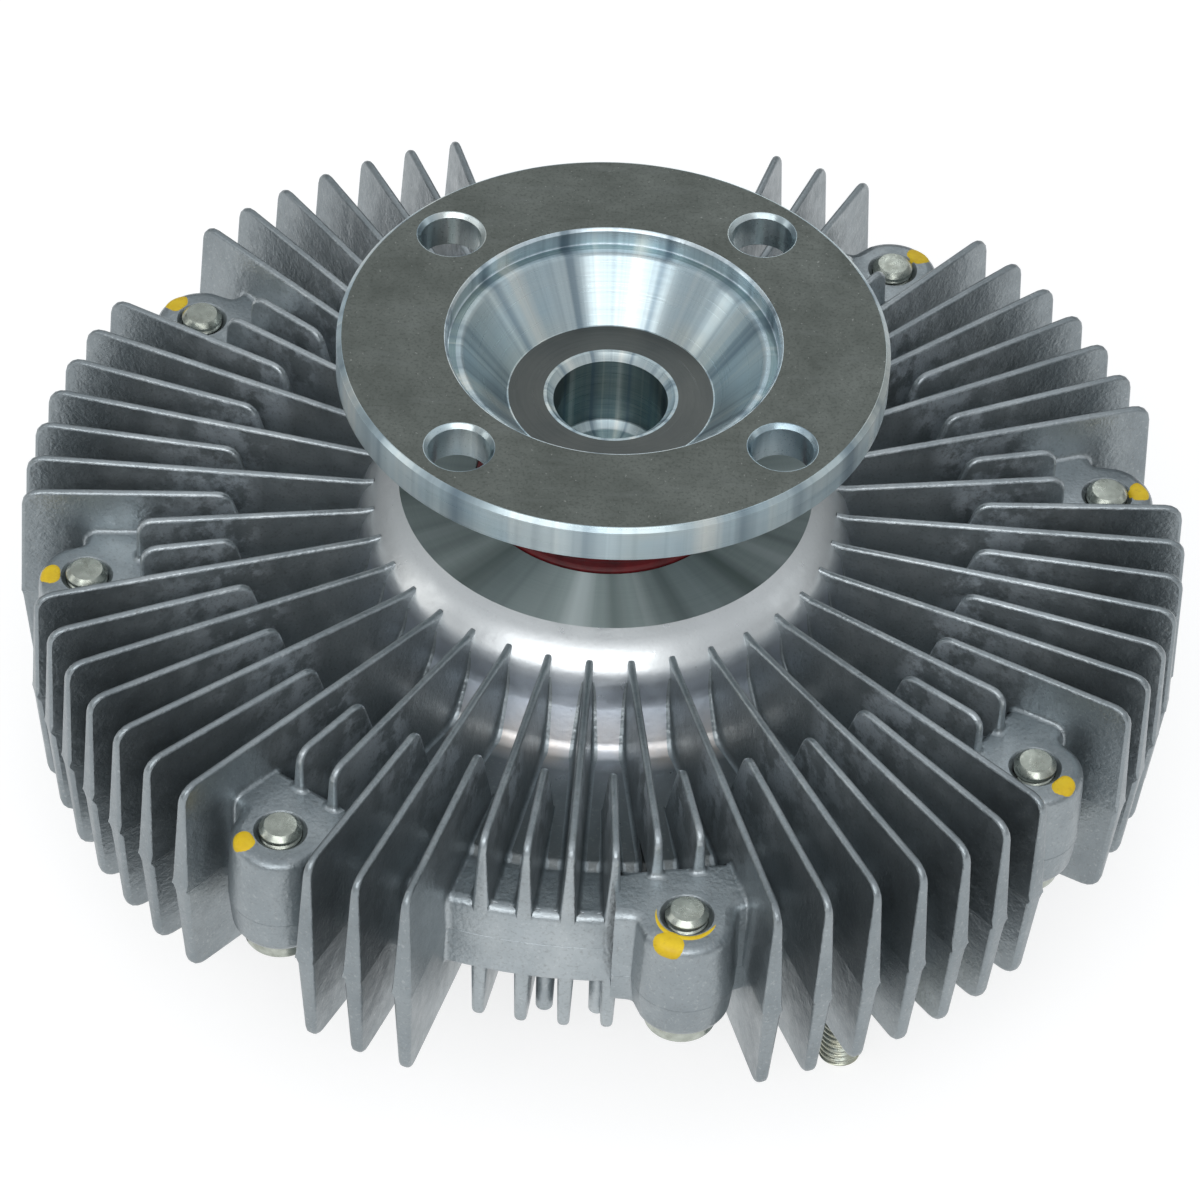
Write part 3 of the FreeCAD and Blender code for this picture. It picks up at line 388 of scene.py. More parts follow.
front_fins = Shell()
front_line = from_radius(FRONT_CORE, FRONT_ROOT)
front_short_line = from_radius(FRONT_CORE, SHORT_ROOT)
front_platform = boss_path(front_line, BOSS_INNER, PLATFORM)
for index in range(FIN_COUNT):
    angle, from_boss, is_short, end = fin_kind(index)
    turn = FIRST_BOLT + angle
    if end == "full":
        outer = [(66.0, SPLIT, 0), (83.0, SPLIT, SEAM_ROUND), (82.96, SPLIT + 1.2, 0), (82.4, FRONT_TOP, 2.7)]
    elif end == "boss":
        outer = [(66.4, PLATFORM - 1.0, 0), (66.3, FRONT_TOP, 2.3)]
    else:
        outer = [(RIM - 0.02, SPLIT + 2.0, 0), (RIM - 0.02, FRONT_TOP, 2.5)]
    if is_short:
        path = rounded(outer + [(53.2, FRONT_TOP, 2.4), (49.4, -43.0, 1.2), (48.2, -44.6, 0)], steps=4)
        root = [(48.4, -46.0), (60.0, -47.0)]
    else:
        path = rounded(outer + [(FRONT_ROOT, FRONT_TOP, 0.8), (32.9, -30.0, 0)], steps=4)
        root = [(32.0, -31.2), (33.8, -42.0), (38.0, -46.0)]
    if end == "full":
        root.append((64.0, SPLIT + 0.5))
    fin(front_fins, path, root, front_half, front_rho, turn, 1)
    line = front_short_line if is_short else front_line
    reach = {"full": 84.0, "boss": 64.6, "band": 68.2}[end]
    for side in (-1, 1):
        beside_boss = abs(abs(from_boss) - 1.5 * FIN_PITCH) < 0.1 and side * from_boss < 0
        own_line = line
        if beside_boss:
            own_line = from_radius(front_platform, SHORT_ROOT if is_short else FRONT_ROOT)
        strip = [point for point in own_line if point[0] <= reach]
        fillet_strip(front_fins, strip, front_half, FRONT_FILLET, side, turn)
    if end == "boss":
        half = front_half(PLATFORM)
        plan = rounded([(65.5, -half, 0), (66.4, -half, 0.5), (66.4, half, 0.5), (65.5, half, 0)], steps=3)
        foot_fillet(front_fins, plan, PLATFORM, FOOT_FILLET, turn)

rear_fins = Shell()
for index in range(FIN_COUNT):
    angle, from_boss, is_short, end = fin_kind(index)
    turn = FIRST_BOLT + angle + REAR_SHIFT
    if end == "full":
        outer = [(66.0, SPLIT, 0), (82.9, SPLIT, SEAM_ROUND), (82.8, SPLIT - 1.2, 0), (81.3, REAR_TIP, 2.6)]
    elif end == "boss":
        outer = [(66.2, -54.0, 0), (66.2, REAR_TIP, 2.3)]
    else:
        outer = [(RIM - 0.02, SPLIT - 3.0, 0), (RIM - 0.12, REAR_TIP, 2.3)]
    if is_short:
        path = rounded(outer + [(52.6, REAR_TIP, 2.4), (49.0, -61.0, 1.0), (48.6, -60.0, 0)], steps=4)
        root = [(49.0, -58.6), (60.0, -57.0)]
    else:
        path = rounded(outer + [(35.2, REAR_TIP, 0)], steps=4)
        root = [(35.0, -60.0), (60.0, -57.0)]
    if end == "full":
        root.append((64.0, SPLIT - 0.5))
    fin(rear_fins, path, root, rear_half, rear_rho, turn, -1)
    reach = {"full": 84.0, "boss": 66.0, "band": 68.2}[end]
    own_line = from_radius(REAR_CORE, SHORT_ROOT if is_short else REAR_ROOT)
    strip = [point for point in own_line if point[0] <= reach]
    for side in (-1, 1):
        fillet_strip(rear_fins, strip, rear_half, REAR_FILLET, side, turn)


# Bosses and lugs, with webs to the neighbouring fins
def boss_outline(radius):
    """Plan of a boss's outer side and its webs, from the fin on one side to the fin on the other."""
    arc = []
    for step in range(41):
        angle = math.radians(-66 + 132 * step / 40)
        arc.append((BOLT_CIRCLE + radius * math.cos(angle), radius * math.sin(angle), 0))
    near = [(WEB_END - 0.7, -9.6, 0), (WEB_END, -radius - 0.1, 0.9)]
    far = [(x, -y, curve) for x, y, curve in reversed(near)]
    return rounded(near + arc + far, steps=5)


def boss(shell, level, radius, draft, mouth, rounding, degrees):
    """The platform round a bolt, from its inner edge to the boss's outer side."""
    outer = walled_edge(shell, boss_outline(radius), level, SPLIT, rounding, degrees, draft)
    inner = [(BOSS_INNER, y) for y in (8.6, 4.0, 0.0, -4.0, -8.6)]
    floor_level = -44.0 if level > SPLIT else -52.0
    inner_line = walled_edge(shell, inner, level, floor_level, 0.9, degrees)
    platform = Shell()
    loops = [outer + inner_line, circle(mouth, HOLE_SIDES, BOLT_CIRCLE)]
    flat_with_holes(platform, loops, level, level > SPLIT)
    shell.add_turned(platform.points, platform.faces, degrees)


CAST, MACHINED = range(2)
front_core = Shell()
lathe(front_core, FRONT_CORE, CORE_SIDES)
front_core.coat = MACHINED
lathe(front_core, BEARING_LAND, LAND_SIDES)
front_core.coat = CAST
for index in range(BOLT_COUNT):
    turn = FIRST_BOLT + BOSS_PITCH * index
    lathe(front_core, rounded([
        (3.0, -40.5, 0), (3.0, -38.2, 0.1), (MOUTH - 0.1, PLATFORM, 0.15), (MOUTH, PLATFORM, 0),
    ], steps=4), HOLE_SIDES, BOLT_CIRCLE, turn)
    boss(front_core, PLATFORM, BOSS_RADIUS, 0.35, MOUTH, BOSS_ROUND, turn)

rear_core = Shell()
lathe(rear_core, REAR_CORE, CORE_SIDES)
for index in range(BOLT_COUNT):
    turn = FIRST_BOLT + BOSS_PITCH * index
    boss(rear_core, LUG, BOSS_RADIUS - 0.1, 0.4, REAR_MOUTH, REAR_ROUND, turn)
for index in range(4):
    turn = FIRST_BOLT + STUD_OFFSET + 90.0 * index
    profile = rounded([
        (0.0, SPLIT - 1.0, 0), (5.9, SPLIT - 1.0, 0.6), (5.8, -52.0, 0.5), (5.2, STUD_SEAT, 0.6),
        (3.6, STUD_SEAT, 0.15), (3.0, -66.4, 0), (3.0, -64.0, 0),
    ], steps=4)
    lathe(rear_core, profile, BOLT_SIDES, STUD_CIRCLE, turn)
# Four cast pins stand between the fins under the two bare bands
for offset in (-15.0, -8.5, 165.0, 171.5):
    profile = rounded([(1.35, -57.5, 0), (1.2, -66.4, 0.3), (0.0, -66.4, 0)], steps=3)
    lathe(rear_core, profile, PIN_SIDES, PIN_CIRCLE, FIRST_BOLT + offset)


# Materials: each is worked out by nodes from the place on the piece
def paint(red, green, blue):
    """A colour as seen on a screen, 0 to 255, as the shader's own linear values."""
    parts = []
    for value in (red, green, blue):
        share = value / 255
        parts.append(share / 12.92 if share <= 0.04045 else ((share + 0.055) / 1.055) ** 2.4)
    return tuple(parts) + (1.0,)


class Nodes:
    """A node tree, with short calls for the nodes that it is made of."""

    def __init__(self, tree):
        self.tree = tree

    def link(self, source, target):
        if isinstance(source, (int, float, tuple)):
            target.default_value = source
        else:
            self.tree.links.new(source, target)

    def add(self, kind, sources, operation=None):
        """A node of a kind. Each source, a value or another node's output, goes into the input it names."""
        node = self.tree.nodes.new("ShaderNode" + kind)
        if operation:
            node.operation = operation
        for key, source in sources.items():
            self.link(source, node.inputs[key])
        return node

    def maths(self, operation, first, second=0.0):
        return self.add("Math", {0: first, 1: second}, operation).outputs[0]

    def times(self, first, second):
        return self.maths("MULTIPLY", first, second)

    def axes(self, vector):
        return self.add("SeparateXYZ", {0: vector}).outputs

    def span(self, value, low, high, to_low=0.0, to_high=1.0):
        """A value from low to high, spread over another range and held at its ends."""
        ends = {"Value": value, "From Min": low, "From Max": high, "To Min": to_low, "To Max": to_high}
        return self.add("MapRange", ends).outputs[0]


class Skin(Nodes):
    """One material, worked out from the place on the piece."""

    def __init__(self, name, metallic=1.0, anisotropic=0.0, specular=0.5):
        self.material = bpy.data.materials.new(name)
        self.material.use_nodes = True
        super().__init__(self.material.node_tree)
        self.shader = self.tree.nodes["Principled BSDF"]
        self.shader.inputs["Metallic"].default_value = metallic
        self.shader.inputs["Anisotropic"].default_value = anisotropic
        self.shader.inputs["Specular IOR Level"].default_value = specular
        self.place = self.add("TexCoord", {}).outputs["Object"]
        self.height = None
        if anisotropic:
            self.shader.inputs["Anisotropic Rotation"].default_value = 0.25
            tangent = self.add("Tangent", {})
            tangent.direction_type = "RADIAL"
            tangent.axis = "Z"
            self.link(tangent.outputs["Tangent"], self.shader.inputs["Tangent"])

    def stretched(self, x, y, z):
        return self.add("Mapping", {"Vector": self.place, "Scale": (x, y, z)}).outputs[0]

    def radius(self):
        x, y, z = self.axes(self.place)
        return self.maths("SQRT", self.maths("ADD", self.times(x, x), self.times(y, y)))

    def polar(self, around, outward, along):
        """Coordinates that run round the axis, out from it and along it, for turned marks and painted
        reflection streaks.
        """
        x, y, z = self.axes(self.place)
        angle = self.times(self.maths("ARCTAN2", y, x), around)
        ways = {0: angle, 1: self.times(self.radius(), outward), 2: self.times(z, along)}
        return self.add("CombineXYZ", ways).outputs[0]

    def upward(self):
        """How far the skin faces up or down: 1 on a flat top, 0 on an upright side."""
        return self.maths("ABSOLUTE", self.axes(self.add("NewGeometry", {}).outputs["Normal"])[2])

    def noise(self, scale, detail=4.0, vector=None, rough=0.55):
        """Cloudy noise. With the piece's own metres, a scale of 1000 makes spots of a millimetre."""
        where = self.place if vector is None else vector
        sources = {"Vector": where, "Scale": scale, "Detail": detail, "Roughness": rough}
        return self.add("TexNoise", sources).outputs[0]

    def cloud(self, scale, detail, low, high, to_low=0.0, to_high=1.0, vector=None, rough=0.55):
        """Cloudy noise with its levels from low to high spread over another range."""
        return self.span(self.noise(scale, detail, vector, rough), low, high, to_low, to_high)

    def blend(self, share, first, second):
        node = self.tree.nodes.new("ShaderNodeMix")
        node.data_type = "RGBA"
        self.link(share, node.inputs["Factor"])
        self.link(first, node.inputs[6])
        self.link(second, node.inputs[7])
        return node.outputs[2]

    def colour(self, source):
        self.link(source, self.shader.inputs["Base Color"])

    def roughness(self, source):
        self.link(source, self.shader.inputs["Roughness"])

    def bump(self, height, depth):
        """Add relief of a depth in metres."""
        sources = {"Strength": 1.0, "Distance": depth, "Height": height}
        if self.height is not None:
            sources["Normal"] = self.height
        self.height = self.add("Bump", sources).outputs[0]
        self.link(self.height, self.shader.inputs["Normal"])


def cast_aluminium(name, core):
    """Die-cast skin with fine grain and smoky stains, made dimmer towards the rim by painted shade.

    The core is smooth near the neck, where painted light makes it pale, a little bluer lower down; painted
    shade makes the floor between the fins greyer, and a painted highlight of a creamy tone lies where the two
    meet. Painted light pales the fins' upright sides near the neck, and they have a frosted bloom.
    """
    skin = Skin(name, metallic=0.88)
    z = skin.axes(skin.place)[2]
    radius = skin.radius()
    stain = skin.cloud(55.0, 5.0, 0.38, 0.66)
    smoke = skin.cloud(160.0, 6.0, 0.46, 0.72, vector=skin.stretched(1.0, 1.0, 0.45))
    base = skin.blend(stain, paint(172, 180, 184), paint(146, 154, 158))
    base = skin.blend(skin.times(smoke, 0.55), base, paint(190, 196, 198))
    # Painted shade: towards the rim the base darkens, in place of the dimmer light that the outer faces
    # catch.
    outer = skin.span(radius, 0.070 if core else 0.064, 0.079, 0.0, 0.5 if core else 0.6)
    base = skin.blend(outer, base, paint(122, 130, 134))
    if core:
        front = skin.span(z, -0.052, -0.049)
        inner = skin.times(skin.span(radius, 0.062, 0.052), front)
        # Painted light: near the neck, between the fins, the core gets a pale base, a little bluer lower
        # down.
        pale = skin.blend(skin.span(z, -0.031, -0.034), paint(206, 209, 210), paint(206, 213, 223))
        base = skin.blend(skin.times(inner, 0.95), base, pale)
        # Painted shade: the floor between the fins, out towards the bosses, gets a darker grey base.
        floor = skin.times(skin.span(radius, 0.0400, 0.0425), skin.span(z, -0.0412, -0.0422))
        floor = skin.times(floor, skin.span(radius, 0.0615, 0.0600, 0.0, 0.75))
        base = skin.blend(skin.times(floor, front), base, paint(120, 123, 121))
        # Painted highlight: a pale cream patch, broken up by noise, in the fillet where the neck meets the
        # floor.
        low = skin.times(skin.span(z, -0.037, -0.0415), skin.span(radius, 0.0425, 0.0405))
        low = skin.times(low, front)
        painted_highlight_cloud = skin.cloud(90.0, 4.0, 0.35, 0.6, 0.1, 0.6)
        base = skin.blend(skin.times(low, painted_highlight_cloud), base, paint(230, 214, 198))
    else:
        upright = skin.span(skin.upward(), 0.5, 0.2)
        # Painted light: the fins' upright sides get a paler base near the neck.
        painted_side_light = skin.times(upright, skin.span(radius, 0.074, 0.064, 0.0, 0.26))
        base = skin.blend(painted_side_light, base, paint(206, 212, 213))
        frosted = skin.span(radius, 0.069, 0.056)
        frosted = skin.times(skin.span(radius, 0.0485, 0.0515), frosted)
        frosted = skin.times(frosted, skin.span(z, -0.0425, -0.035))
        frosted = skin.times(frosted, upright)
        bloom = skin.cloud(210.0, 7.0, 0.45, 0.55, 0.0, 0.9, rough=0.68)
        base = skin.blend(skin.times(frosted, bloom), base, paint(236, 243, 248))
    speck = skin.cloud(2300.0, 3.0, 0.54, 0.72, 0.0, 0.4)
    glint = skin.cloud(1900.0, 3.0, 0.58, 0.74, 0.0, 0.2, skin.stretched(1.0, 1.1, 0.9))
    rough = skin.cloud(420.0, 5.0, 0.3, 0.7, 0.30, 0.44)
    grain = skin.noise(1700.0, 4.0)
    swell = skin.noise(320.0, 3.0)
    if core:
        plain = skin.maths("SUBTRACT", 1.0, skin.times(inner, 0.8))
        speck = skin.times(speck, plain)
        grain = skin.times(grain, plain)
        swell = skin.times(swell, plain)
        rough = skin.maths("SUBTRACT", rough, skin.times(inner, 0.03))
    base = skin.blend(speck, base, paint(122, 124, 123))
    skin.colour(skin.blend(glint, base, paint(224, 227, 227)))
    skin.roughness(rough)
    skin.bump(grain, 0.00008)
    skin.bump(swell, 0.00014)
    return skin.material


def machined_aluminium(name):
    """The turned neck and bearing land: turned rings round the axis, and painted reflections in rays out from
    it.
    """
    skin = Skin(name, anisotropic=0.95)
    rings = skin.noise(1.0, 3.0, skin.polar(0.6, 4200.0, 4200.0))
    # Painted reflections: the rays make dark and bright streaks that fan out from the axis.
    rays = skin.noise(1.0, 3.0, skin.polar(3.2, 0.0, 0.0), 0.5)
    base = skin.blend(rings, paint(150, 162, 160), paint(176, 187, 187))
    base = skin.blend(skin.span(rays, 0.48, 0.66, 0.0, 0.7), base, paint(96, 110, 106))
    skin.colour(skin.blend(skin.span(rays, 0.46, 0.32, 0.0, 0.7), base, paint(224, 232, 232)))
    skin.roughness(skin.span(rings, 0.3, 0.7, 0.50, 0.60))
    skin.bump(rings, 0.000006)
    return skin.material


def dark_turned(name):
    """Turned flats inside the dish: smooth, browner and darker than the cone."""
    skin = Skin(name, metallic=0.9, anisotropic=0.4)
    rings = skin.noise(1.0, 4.0, skin.polar(0.8, 2600.0, 2600.0))
    cloud = skin.cloud(120.0, 4.0, 0.35, 0.65)
    base = skin.blend(cloud, paint(88, 91, 89), paint(78, 82, 81))
    skin.colour(skin.blend(skin.span(rings, 0.4, 0.7, 0.0, 0.4), base, paint(104, 107, 105)))
    skin.roughness(skin.span(rings, 0.3, 0.7, 0.26, 0.38))
    skin.bump(rings, 0.000004)
    return skin.material


def bright_zinc(name, tint=(184, 197, 200)):
    """Turned and plated steel: fine rings, with faint blue and straw in the plating, and painted reflections
    in rays round the axis.
    """
    skin = Skin(name, anisotropic=0.85)
    rings = skin.noise(1.0, 4.0, skin.polar(0.8, 5200.0, 5200.0))
    tone = skin.cloud(60.0, 3.0, 0.35, 0.65)
    bluer = (tint[0] - 14, tint[1] - 6, tint[2])
    base = skin.blend(tone, paint(*tint), paint(*bluer))
    straw = skin.cloud(38.0, 2.0, 0.5, 0.7, 0.0, 0.45, skin.stretched(1.0, 1.3, 2.0))
    base = skin.blend(straw, base, paint(tint[0] + 14, tint[1], tint[2] - 16))
    base = skin.blend(skin.span(rings, 0.35, 0.7, 0.0, 0.2), base, paint(216, 224, 226))
    # Painted reflections: rays out from the axis darken the zinc to blue grey in places and brighten it to
    # near white in others.
    rays = skin.noise(1.0, 3.0, skin.polar(4.5, 0.0, 0.0), 0.5)
    base = skin.blend(skin.span(rays, 0.5, 0.64, 0.0, 0.75), base, paint(112, 130, 142))
    base = skin.blend(skin.span(rays, 0.46, 0.34, 0.0, 0.6), base, paint(236, 236, 228))
    # Painted reflections: narrow stripes round the axis tint the zinc blue grey.
    reflection_bands = skin.noise(1.0, 2.0, skin.polar(30.0, 0.0, 0.0), 0.5)
    skin.colour(skin.blend(skin.span(reflection_bands, 0.52, 0.66, 0.0, 0.2), base, paint(122, 142, 152)))
    skin.roughness(skin.span(rings, 0.3, 0.7, 0.26, 0.36))
    skin.bump(rings, 0.000006)
    return skin.material


def dull_plate(name):
    """The flange's flat faces: satin plating with an olive cast, mottled and lightly rubbed; the dark base is
    also a painted reflection of a dark room.
    """
    skin = Skin(name, metallic=0.75)
    cloud = skin.cloud(85.0, 6.0, 0.34, 0.68, rough=0.65)
    base = skin.blend(cloud, paint(98, 103, 98), paint(122, 127, 122))
    pores = skin.cloud(2300.0, 2.0, 0.5, 0.7, 0.0, 0.5)
    base = skin.blend(pores, base, paint(76, 80, 76))
    rub = skin.cloud(240.0, 5.0, 0.56, 0.74, 0.0, 0.5, skin.stretched(0.35, 1.8, 1.0))
    base = skin.blend(rub, base, paint(122, 127, 124))
    dust = skin.cloud(1800.0, 2.0, 0.68, 0.74, 0.0, 0.6, skin.stretched(1.0, 0.8, 1.0))
    skin.colour(skin.blend(dust, base, paint(170, 172, 168)))
    skin.roughness(skin.cloud(700.0, 4.0, 0.3, 0.7, 0.46, 0.6))
    skin.bump(skin.noise(1700.0, 4.0), 0.00002)
    return skin.material


def zinc_fastener(name, tint=(184, 189, 180)):
    """Plated bolts and studs, a little grimy."""
    skin = Skin(name, metallic=0.95)
    cloud = skin.cloud(700.0, 4.0, 0.35, 0.65)
    base = skin.blend(cloud, paint(*tint), paint(162, 167, 158))
    grime = skin.cloud(260.0, 5.0, 0.55, 0.7, 0.0, 0.35)
    skin.colour(skin.blend(grime, base, paint(104, 101, 88)))
    skin.roughness(skin.cloud(1200.0, 3.0, 0.3, 0.7, 0.22, 0.38))
    skin.bump(skin.noise(1900.0, 3.0), 0.00002)
    return skin.material


def rubber(name, first, second):
    skin = Skin(name, metallic=0.0, specular=0.4)
    cloud = skin.cloud(420.0, 5.0, 0.35, 0.65)
    skin.colour(skin.blend(cloud, paint(*first), paint(*second)))
    skin.roughness(skin.cloud(900.0, 4.0, 0.3, 0.7, 0.42, 0.6))
    skin.bump(skin.noise(1400.0, 4.0), 0.00003)
    return skin.material


def marking_paint(name):
    skin = Skin(name, metallic=0.0)
    cloud = skin.cloud(500.0, 5.0, 0.35, 0.65)
    base = skin.blend(cloud, paint(234, 200, 30), paint(222, 184, 22))
    dirt = skin.cloud(1300.0, 4.0, 0.6, 0.78, 0.0, 0.4)
    skin.colour(skin.blend(dirt, base, paint(172, 138, 36)))
    skin.roughness(skin.cloud(1100.0, 3.0, 0.3, 0.7, 0.38, 0.6))
    skin.bump(skin.noise(1000.0, 4.0), 0.00004)
    return skin.material


def polished_steel(name, tint, roughness):
    skin = Skin(name)
    cloud = skin.cloud(260.0, 5.0, 0.35, 0.65)
    darker = tuple(int(part * 0.86) for part in tint)
    skin.colour(skin.blend(cloud, paint(*tint), paint(*darker)))
    skin.roughness(skin.cloud(900.0, 4.0, 0.3, 0.7, roughness - 0.04, roughness + 0.06))
    skin.bump(skin.noise(2200.0, 3.0), 0.00001)
    return skin.material


def bimetal(name):
    """Rolled strip, from coppery to steel grey in patches, with heat tints."""
    skin = Skin(name)
    cloud = skin.cloud(190.0, 5.0, 0.38, 0.62)
    base = skin.blend(cloud, paint(186, 160, 118), paint(160, 142, 116))
    heat = skin.cloud(95.0, 3.0, 0.55, 0.7, 0.0, 0.6)
    skin.colour(skin.blend(heat, base, paint(128, 112, 118)))
    rolling = skin.noise(1.0, 3.0, skin.stretched(300.0, 300.0, 6000.0))
    skin.roughness(skin.span(rolling, 0.3, 0.7, 0.26, 0.42))
    skin.bump(rolling, 0.000008)
    return skin.material


CORE_METAL = cast_aluminium("cast_aluminium_core", True)
FIN_METAL = cast_aluminium("cast_aluminium_fins", False)
NECK_METAL = machined_aluminium("turned_neck")
ZINC = bright_zinc("bright_zinc_turned")
# Painted light: a paler copy of the turned zinc for the dish's upright mouth wall.
LIT_MOUTH_ZINC = bright_zinc("zinc_mouth_painted_light", (220, 230, 234))
# Painted shade: a darker copy of the turned zinc for the bore and the narrow land at the foot of the dish's
# wall.
SHADED_BORE_ZINC = bright_zinc("zinc_bore_painted_shade", (136, 154, 154))
# Partly painted: the plating's dark base stands in for the dark reflection on the flange's top face.
DULL = dull_plate("dull_flange_face")
DARK_ZINC = dark_turned("dark_turned_zinc")
BOLT_METAL = zinc_fastener("zinc_bolts")
STUD_METAL = zinc_fastener("zinc_studs", (178, 178, 160))
RED = rubber("dark_red_rubber", (104, 18, 22), (74, 12, 16))
BLACK = rubber("black_rubber", (38, 38, 40), (26, 26, 27))
YELLOW = marking_paint("yellow_paint")


# The two castings
front_core.make("front_casting", "housing", [CORE_METAL, NECK_METAL], ["front_housing"])
front_fins.make("front_fins", "housing", [FIN_METAL])
rear_core.make("rear_casting", "housing", [CORE_METAL], ["rear_cover"])
rear_fins.make("rear_fins", "housing", [FIN_METAL])


# Drive flange: a dished plate with four holes, its cone, hub and shaft
FLANGE_RADIUS = 38.3
FLANGE_BOTTOM = -5.8
HOLE_CIRCLE = 31.0
HOLE_RADIUS = 4.25
HOLE_MOUTH = 4.8
SPIGOT_RADIUS = 23.0
RECESS = -2.6
HUB_RADIUS = 14.3
HUB_FACE = -10.5
SHAFT_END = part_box("drive_flange_shaft")[0][2] / MM


def ring_of_holes(radius):
    loops = []
    for index in range(4):
        angle = math.radians(FLANGE_TURN + 90.0 * index)
        x, y = HOLE_CIRCLE * math.cos(angle), HOLE_CIRCLE * math.sin(angle)
        loops.append(circle(radius, HOLE_SIDES, x, y))
    return loops


# The coats count through the metals that the flange is made with
BRIGHT, FLAT, BROWNED, BORE, MOUTH_WALL = range(5)
metals = [ZINC, DULL, DARK_ZINC, SHADED_BORE_ZINC, LIT_MOUTH_ZINC]
flange = Shell()
lathe(flange, rounded([(0.0, -23.4, 0), (6.9, -23.4, 0.6), (7.9, -22.5, 0.2), (8.0, -22.3, 0)]), 120)
flange.coat = BORE
lathe(flange, [(8.0, -22.3), (8.0, -11.45)], BORE_SIDES)
flange.coat = BRIGHT
bore_edge = [(8.0, -11.45, 0), (8.05, -11.4, 0.1), (8.95, HUB_FACE, 0.12), (9.4, HUB_FACE, 0)]
lathe(flange, rounded(bore_edge), BORE_SIDES)
flange.coat = BROWNED
lathe(flange, [(9.4, HUB_FACE), (14.3, HUB_FACE)], BORE_SIDES)
flange.coat = BRIGHT
cone = [(14.3, HUB_FACE, 0), (14.5, HUB_FACE, 0.1), (20.9, RECESS, 1.3), (21.8, RECESS, 0)]
lathe(flange, rounded(cone, steps=6), FLANGE_SIDES)
flange.coat = BORE
lathe(flange, [(21.8, RECESS), (22.8, RECESS)], FLANGE_SIDES)
flange.coat = MOUTH_WALL
lathe(flange, rounded([
    (22.8, RECESS, 0), (SPIGOT_RADIUS, RECESS, 0.15), (SPIGOT_RADIUS, -0.35, 0.1), (23.35, 0.0, 0.1),
    (23.45, 0.0, 0),
]), FLANGE_SIDES)
flange.coat = FLAT
edges = [circle(37.6, FLANGE_SIDES), circle(23.45, FLANGE_SIDES)]
flat_with_holes(flange, edges + ring_of_holes(HOLE_MOUTH + 0.1), 0.0, True)
flange.coat = BRIGHT
lathe(flange, rounded([
    (37.6, 0.0, 0), (37.7, 0.0, 0.08), (FLANGE_RADIUS, -0.6, 0.1), (FLANGE_RADIUS, -5.4, 0.1),
    (37.9, FLANGE_BOTTOM, 0.1), (37.7, FLANGE_BOTTOM, 0),
]), FLANGE_SIDES)
edges = [circle(37.7, FLANGE_SIDES), circle(26.2, FLANGE_SIDES)]
flat_with_holes(flange, edges + ring_of_holes(4.6), FLANGE_BOTTOM, False)
lathe(flange, rounded([
    (26.2, FLANGE_BOTTOM, 0), (26.0, FLANGE_BOTTOM, 0.15), (HUB_RADIUS, -16.0, 1.2), (HUB_RADIUS, -28.6, 0.2),
    (10.0, -28.6, 0.3), (10.0, -42.6, 0.2), (8.5, -42.6, 0.3), (8.5, SHAFT_END + 0.8, 0),
    (9.8, SHAFT_END + 0.8, 0.1), (9.8, SHAFT_END, 0.2), (0.0, SHAFT_END, 0),
]), BORE_SIDES)
for index in range(4):
    lathe(flange, rounded([
        (4.6, FLANGE_BOTTOM, 0), (HOLE_RADIUS, -5.45, 0.08), (HOLE_RADIUS, -0.65, 0.1),
        (HOLE_MOUTH, 0.0, 0.08), (HOLE_MOUTH + 0.1, 0.0, 0),
    ]), HOLE_SIDES, HOLE_CIRCLE, FLANGE_TURN + 90.0 * index)
flange.make("drive_flange", "drive", metals, ["drive_flange_shaft"])


# Red seal round the hub
seal = Shell()
lathe(seal, rounded([
    (14.75, -28.4, 0), (14.75, -26.7, 0.2), (15.0, -26.4, 0.2), (16.0, -26.4, 0.2), (16.3, -26.75, 0.15),
    (16.9, -26.75, 0.15), (17.1, -26.5, 0.2), (17.9, -26.6, 0.3), (18.4, -27.0, 0.3), (18.4, -28.4, 0),
    (14.75, -28.4, 0),
], steps=3), SEAL_SIDES)
seal.make("red_hub_seal", "housing", [RED], ["hub_seal"])


# Bolts and studs with their threads
def thread(shell, centre, degrees, low, high):
    """A helical thread between two heights, fading out at both."""
    steps = max(2, int((high - low) / THREAD_PITCH * 8))
    points = []
    for level in range(steps + 1):
        height = low + (high - low) * level / steps
        fade = min(1.0, (high - height) / 0.3, (height - low) / 0.3)
        for index in range(BOLT_SIDES):
            turn = index / BOLT_SIDES
            phase = (height / THREAD_PITCH - turn) % 1.0
            crest = 1.0 - abs(2.0 * phase - 1.0)
            radius = BOLT_RADIUS - THREAD_DEPTH * (1.0 - min(1.0, crest * 1.25)) * fade
            angle = 2 * math.pi * turn
            points.append((centre + radius * math.cos(angle), radius * math.sin(angle), height))
    shell.add_turned(points, tube(steps + 1, BOLT_SIDES, inward=True), degrees)


BOLT_RADIUS = 2.95
BOLT_END = PLATFORM + 1.2
THREAD_PITCH = 1.0
THREAD_DEPTH = 0.5
THREAD_START = -41.0
HEAD_RADIUS = 5.0
HEAD_FACE = 4.3
HEAD_END = LUG - 2.6
SOCKET = 2.9
SOCKET_DEPTH = 1.2

